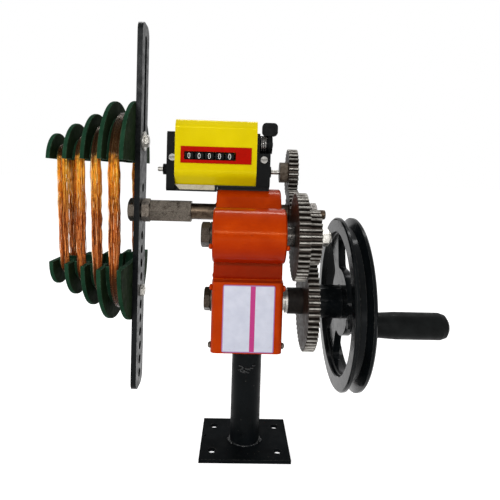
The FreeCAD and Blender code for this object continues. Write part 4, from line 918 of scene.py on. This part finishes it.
def foot_lumps(black):
    """Short uneven dabs of weld beside the ring at the post's foot."""
    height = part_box("post_pipe")[0].z + LUMP_RAISE
    chance = random.Random(LUMP_SEED)
    paths = []
    for degrees in LUMP_PLACES:
        a = math.radians(degrees + chance.uniform(-LUMP_STRAY, LUMP_STRAY))
        out = post_radius() + chance.uniform(*LUMP_GAP) * MM
        along = Vector((-math.sin(a), math.cos(a), 0)) * chance.uniform(*LUMP_REACH) * MM
        middle = Vector((math.cos(a) * out, math.sin(a) * out, height))
        paths.append([middle + along * share for share in (-1, -0.5, 0, 0.5, 1)])
    weld_bead("weld_lumps", paths, DAB_SIZE, black, seed=22)


def welds(paint, black):
    """The beads between plate, post, block, web and tubes."""
    post_low, post_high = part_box("post_pipe")
    radius = post_radius()
    foot = ring_path(Vector((0, 0, post_low.z + FOOT_RAISE)), radius + FOOT_GAP)
    weld_bead("weld_foot", [foot], FOOT_SIZE, black, seed=3, closed=True)
    neck = ring_path(Vector((0, 0, post_high.z - NECK_DROP)), radius + NECK_GAP)
    weld_bead("weld_neck", [neck], NECK_SIZE, black, seed=4, closed=True)

    low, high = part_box("housing_saddle")
    tube_low, tube_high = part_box("middle_housing")
    tube = (tube_high.z - tube_low.z) / 2
    drop = low.y - MIDDLE.y
    top = MIDDLE.z - math.sqrt(tube * tube - drop * drop)
    rear = high.y - WEB_REAR_INSET
    seams = [line_path(Vector((low.x, y, z)), Vector((high.x, y, z)), seed)
             for y, z, seed in ((low.y, low.z, 5), (rear, low.z, 5), (low.y, top, 6))]
    weld_bead("weld_web", seams, SEAM_SIZE, paint, seed=7)


# ---------------------------------------------------------------------------------------------
# Looks of the nodes
# ---------------------------------------------------------------------------------------------
# Each material's name, with the function that makes it and what that function is given.
MATERIALS = {
    "black_paint": (black_paint, {}),
    "black_plate": (black_paint, {"rough": 0.6, "shine": 0.02}),
    "black_post": (black_paint, {"shine": 0.045}),
    "black_arm": (black_paint, {"rough": 0.32, "shine": 0.09}),
    "black_weld": (black_paint, {"rough": 0.22, "shine": 0.3, "rub_and_highlight": 0}),
    "black_gloss": (black_paint, {"rough": 0.12, "shine": 0.06, "wear": 0.8}),
    "orange_paint": (orange_paint, {}),
    # A darker, redder copy of the orange paint for the saddle: painted shade.
    "neck_paint": (orange_paint, {"light": colour(140, 26, 1), "middle": colour(130, 20, 1),
                                  "dark": colour(118, 14, 1)}),
    "yellow_sheet": (yellow_sheet, {}),
    "green_plastic": (green_plastic, {}),
    "black_plastic": (black_plastic, {}),
    "grip_plastic": (black_plastic, {"rough": 0.42, "paler": 6}),
    "red_print": (red_print, {}),
    "white_print": (white_print, {}),
    "copper_wire": (copper_wire, {}),
    "shelf_steel": (steel, {"dark": colour(120, 112, 92), "light": colour(176, 168, 146),
                            "stain": colour(96, 84, 66), "rough": 0.45, "metal": 0.3}),
    "bright_steel": (steel, {"dark": colour(104, 100, 94), "light": colour(186, 184, 178),
                             "stain": colour(74, 62, 48), "rough": 0.28}),
    "spindle_steel": (steel, {"dark": colour(42, 32, 24), "light": colour(104, 90, 74),
                              "stain": colour(34, 22, 14), "rough": 0.36, "stained": 0.45}),
    "bolt_steel": (steel, {"dark": colour(30, 25, 21), "light": colour(70, 61, 53),
                           "stain": colour(24, 17, 12), "rough": 0.34, "grain": EVEN,
                           "stained": 0.5, "rim": 0.7 * MM}),
    "hex_steel": (steel, {"dark": colour(58, 52, 46), "light": colour(124, 116, 106),
                          "stain": colour(34, 25, 18), "rough": 0.38, "grain": EVEN,
                          "stained": 0.5, "rim": 0.7 * MM}),
    "screw_steel": (steel, {"dark": colour(96, 94, 90), "light": colour(158, 156, 151),
                            "stain": colour(60, 54, 46), "rough": 0.45, "grain": EVEN,
                            "metal": 0.5, "rim": 0.7 * MM}),
    "spring_steel": (steel, {"dark": colour(70, 68, 66), "light": colour(164, 162, 158),
                             "stain": colour(20, 16, 13), "rough": 0.2, "grain": EVEN,
                             "stained": 0.55}),
    "dark_steel": (steel, {"dark": colour(26, 24, 22), "light": colour(96, 92, 88),
                           "stain": colour(20, 16, 13), "rough": 0.22, "grain": EVEN,
                           "stained": 0.5}),
    "zinc_steel": (steel, {"dark": colour(140, 137, 130), "light": colour(214, 211, 204),
                           "stain": colour(88, 78, 62), "rough": 0.3, "grain": EVEN,
                           "stained": 0.62, "rim": 0.6 * MM}),
    "bearing_steel": (steel, {"dark": colour(110, 108, 104), "light": colour(170, 168, 164),
                              "stain": colour(60, 52, 44), "rough": 0.35}),
}
# The nodes that wear each material; the gears have one each.
NODE_LOOKS = {
    "black_plate": "base_plate",
    "black_post": "post_pipe",
    "black_arm": "winding_arm",
    "black_gloss": "handwheel",
    "black_paint": "counter_bracket grip_pin number_axle",
    "orange_paint": "crank_housing middle_housing spindle_housing",
    "neck_paint": "housing_saddle",
    "yellow_sheet": "counter_cover",
    "red_print": "counter_panel",
    "green_plastic": "upper_former lower_former",
    "black_plastic": "counter_left_cheek counter_right_cheek reset_lever number_wheel_1 "
                     "number_wheel_2 number_wheel_3 number_wheel_4 number_wheel_5",
    "grip_plastic": "handle_grip",
    "copper_wire": "wire_coil_1 wire_coil_2 wire_coil_3 wire_coil_4",
    "shelf_steel": "counter_base",
    "bright_steel": "crank_shaft middle_shaft counter_shaft crank_spacer",
    "spindle_steel": "spindle_shaft spindle_collar spindle_spacer",
    "bolt_steel": "crank_end_bolt middle_end_bolt",
    "hex_steel": "coupling_nut arm_lock_nut arm_bolt",
    "screw_steel": "counter_screws",
    "spring_steel": "reset_spring",
    "dark_steel": "spindle_nut middle_spacer",
    "zinc_steel": "middle_nut upper_former_bolt upper_former_nut lower_former_bolt "
                  "lower_former_nut",
    "bearing_steel": "crank_bearings middle_bearings spindle_bearings",
}
# The dark and the light shade of a gear's hub.
DARK_HUB = (colour(20, 18, 17), colour(40, 36, 33))
PALE_HUB = (colour(66, 56, 46), colour(124, 114, 102))
# Each gear's centre and hub.
GEARS = {
    "drive_gear": (CRANK, DARK_HUB),
    "idler_gear": (MIDDLE, DARK_HUB),
    "idler_pinion": (MIDDLE, DARK_HUB),
    "spindle_gear": (SPINDLE, DARK_HUB),
    "counter_gear": (COUNTER, PALE_HUB),
}


def dress(node, material):
    """Give a CAD node its one material."""
    mesh = frame["nodes"][node].data
    mesh.materials.clear()
    mesh.materials.append(material)


def build():
    """Dress the CAD nodes, and add wire, label, figures, small bolts and welds."""
    skin = {name: recipe(name, **settings) for name, (recipe, settings) in MATERIALS.items()}
    for look, names in NODE_LOOKS.items():
        for node in names.split():
            dress(node, skin[look])
    for node, (centre, hub) in GEARS.items():
        low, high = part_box(node)
        dress(node, gear_steel(node + "_steel", centre, (high.z - low.z) / 2, *hub))

    wire_coils(skin["copper_wire"])
    label()
    digits(skin["white_print"])
    corner_bolts(skin["orange_paint"], skin["hex_steel"])
    tube_screws(skin["orange_paint"])
    post_patch(skin["black_weld"])
    foot_lumps(skin["black_weld"])
    welds(skin["orange_paint"], skin["black_weld"])


add_camera()
add_world()
add_floor()
for lamp_settings in LAMPS:
    add_lamp(*lamp_settings)
bpy.context.scene.view_settings.view_transform = "Standard"
build()
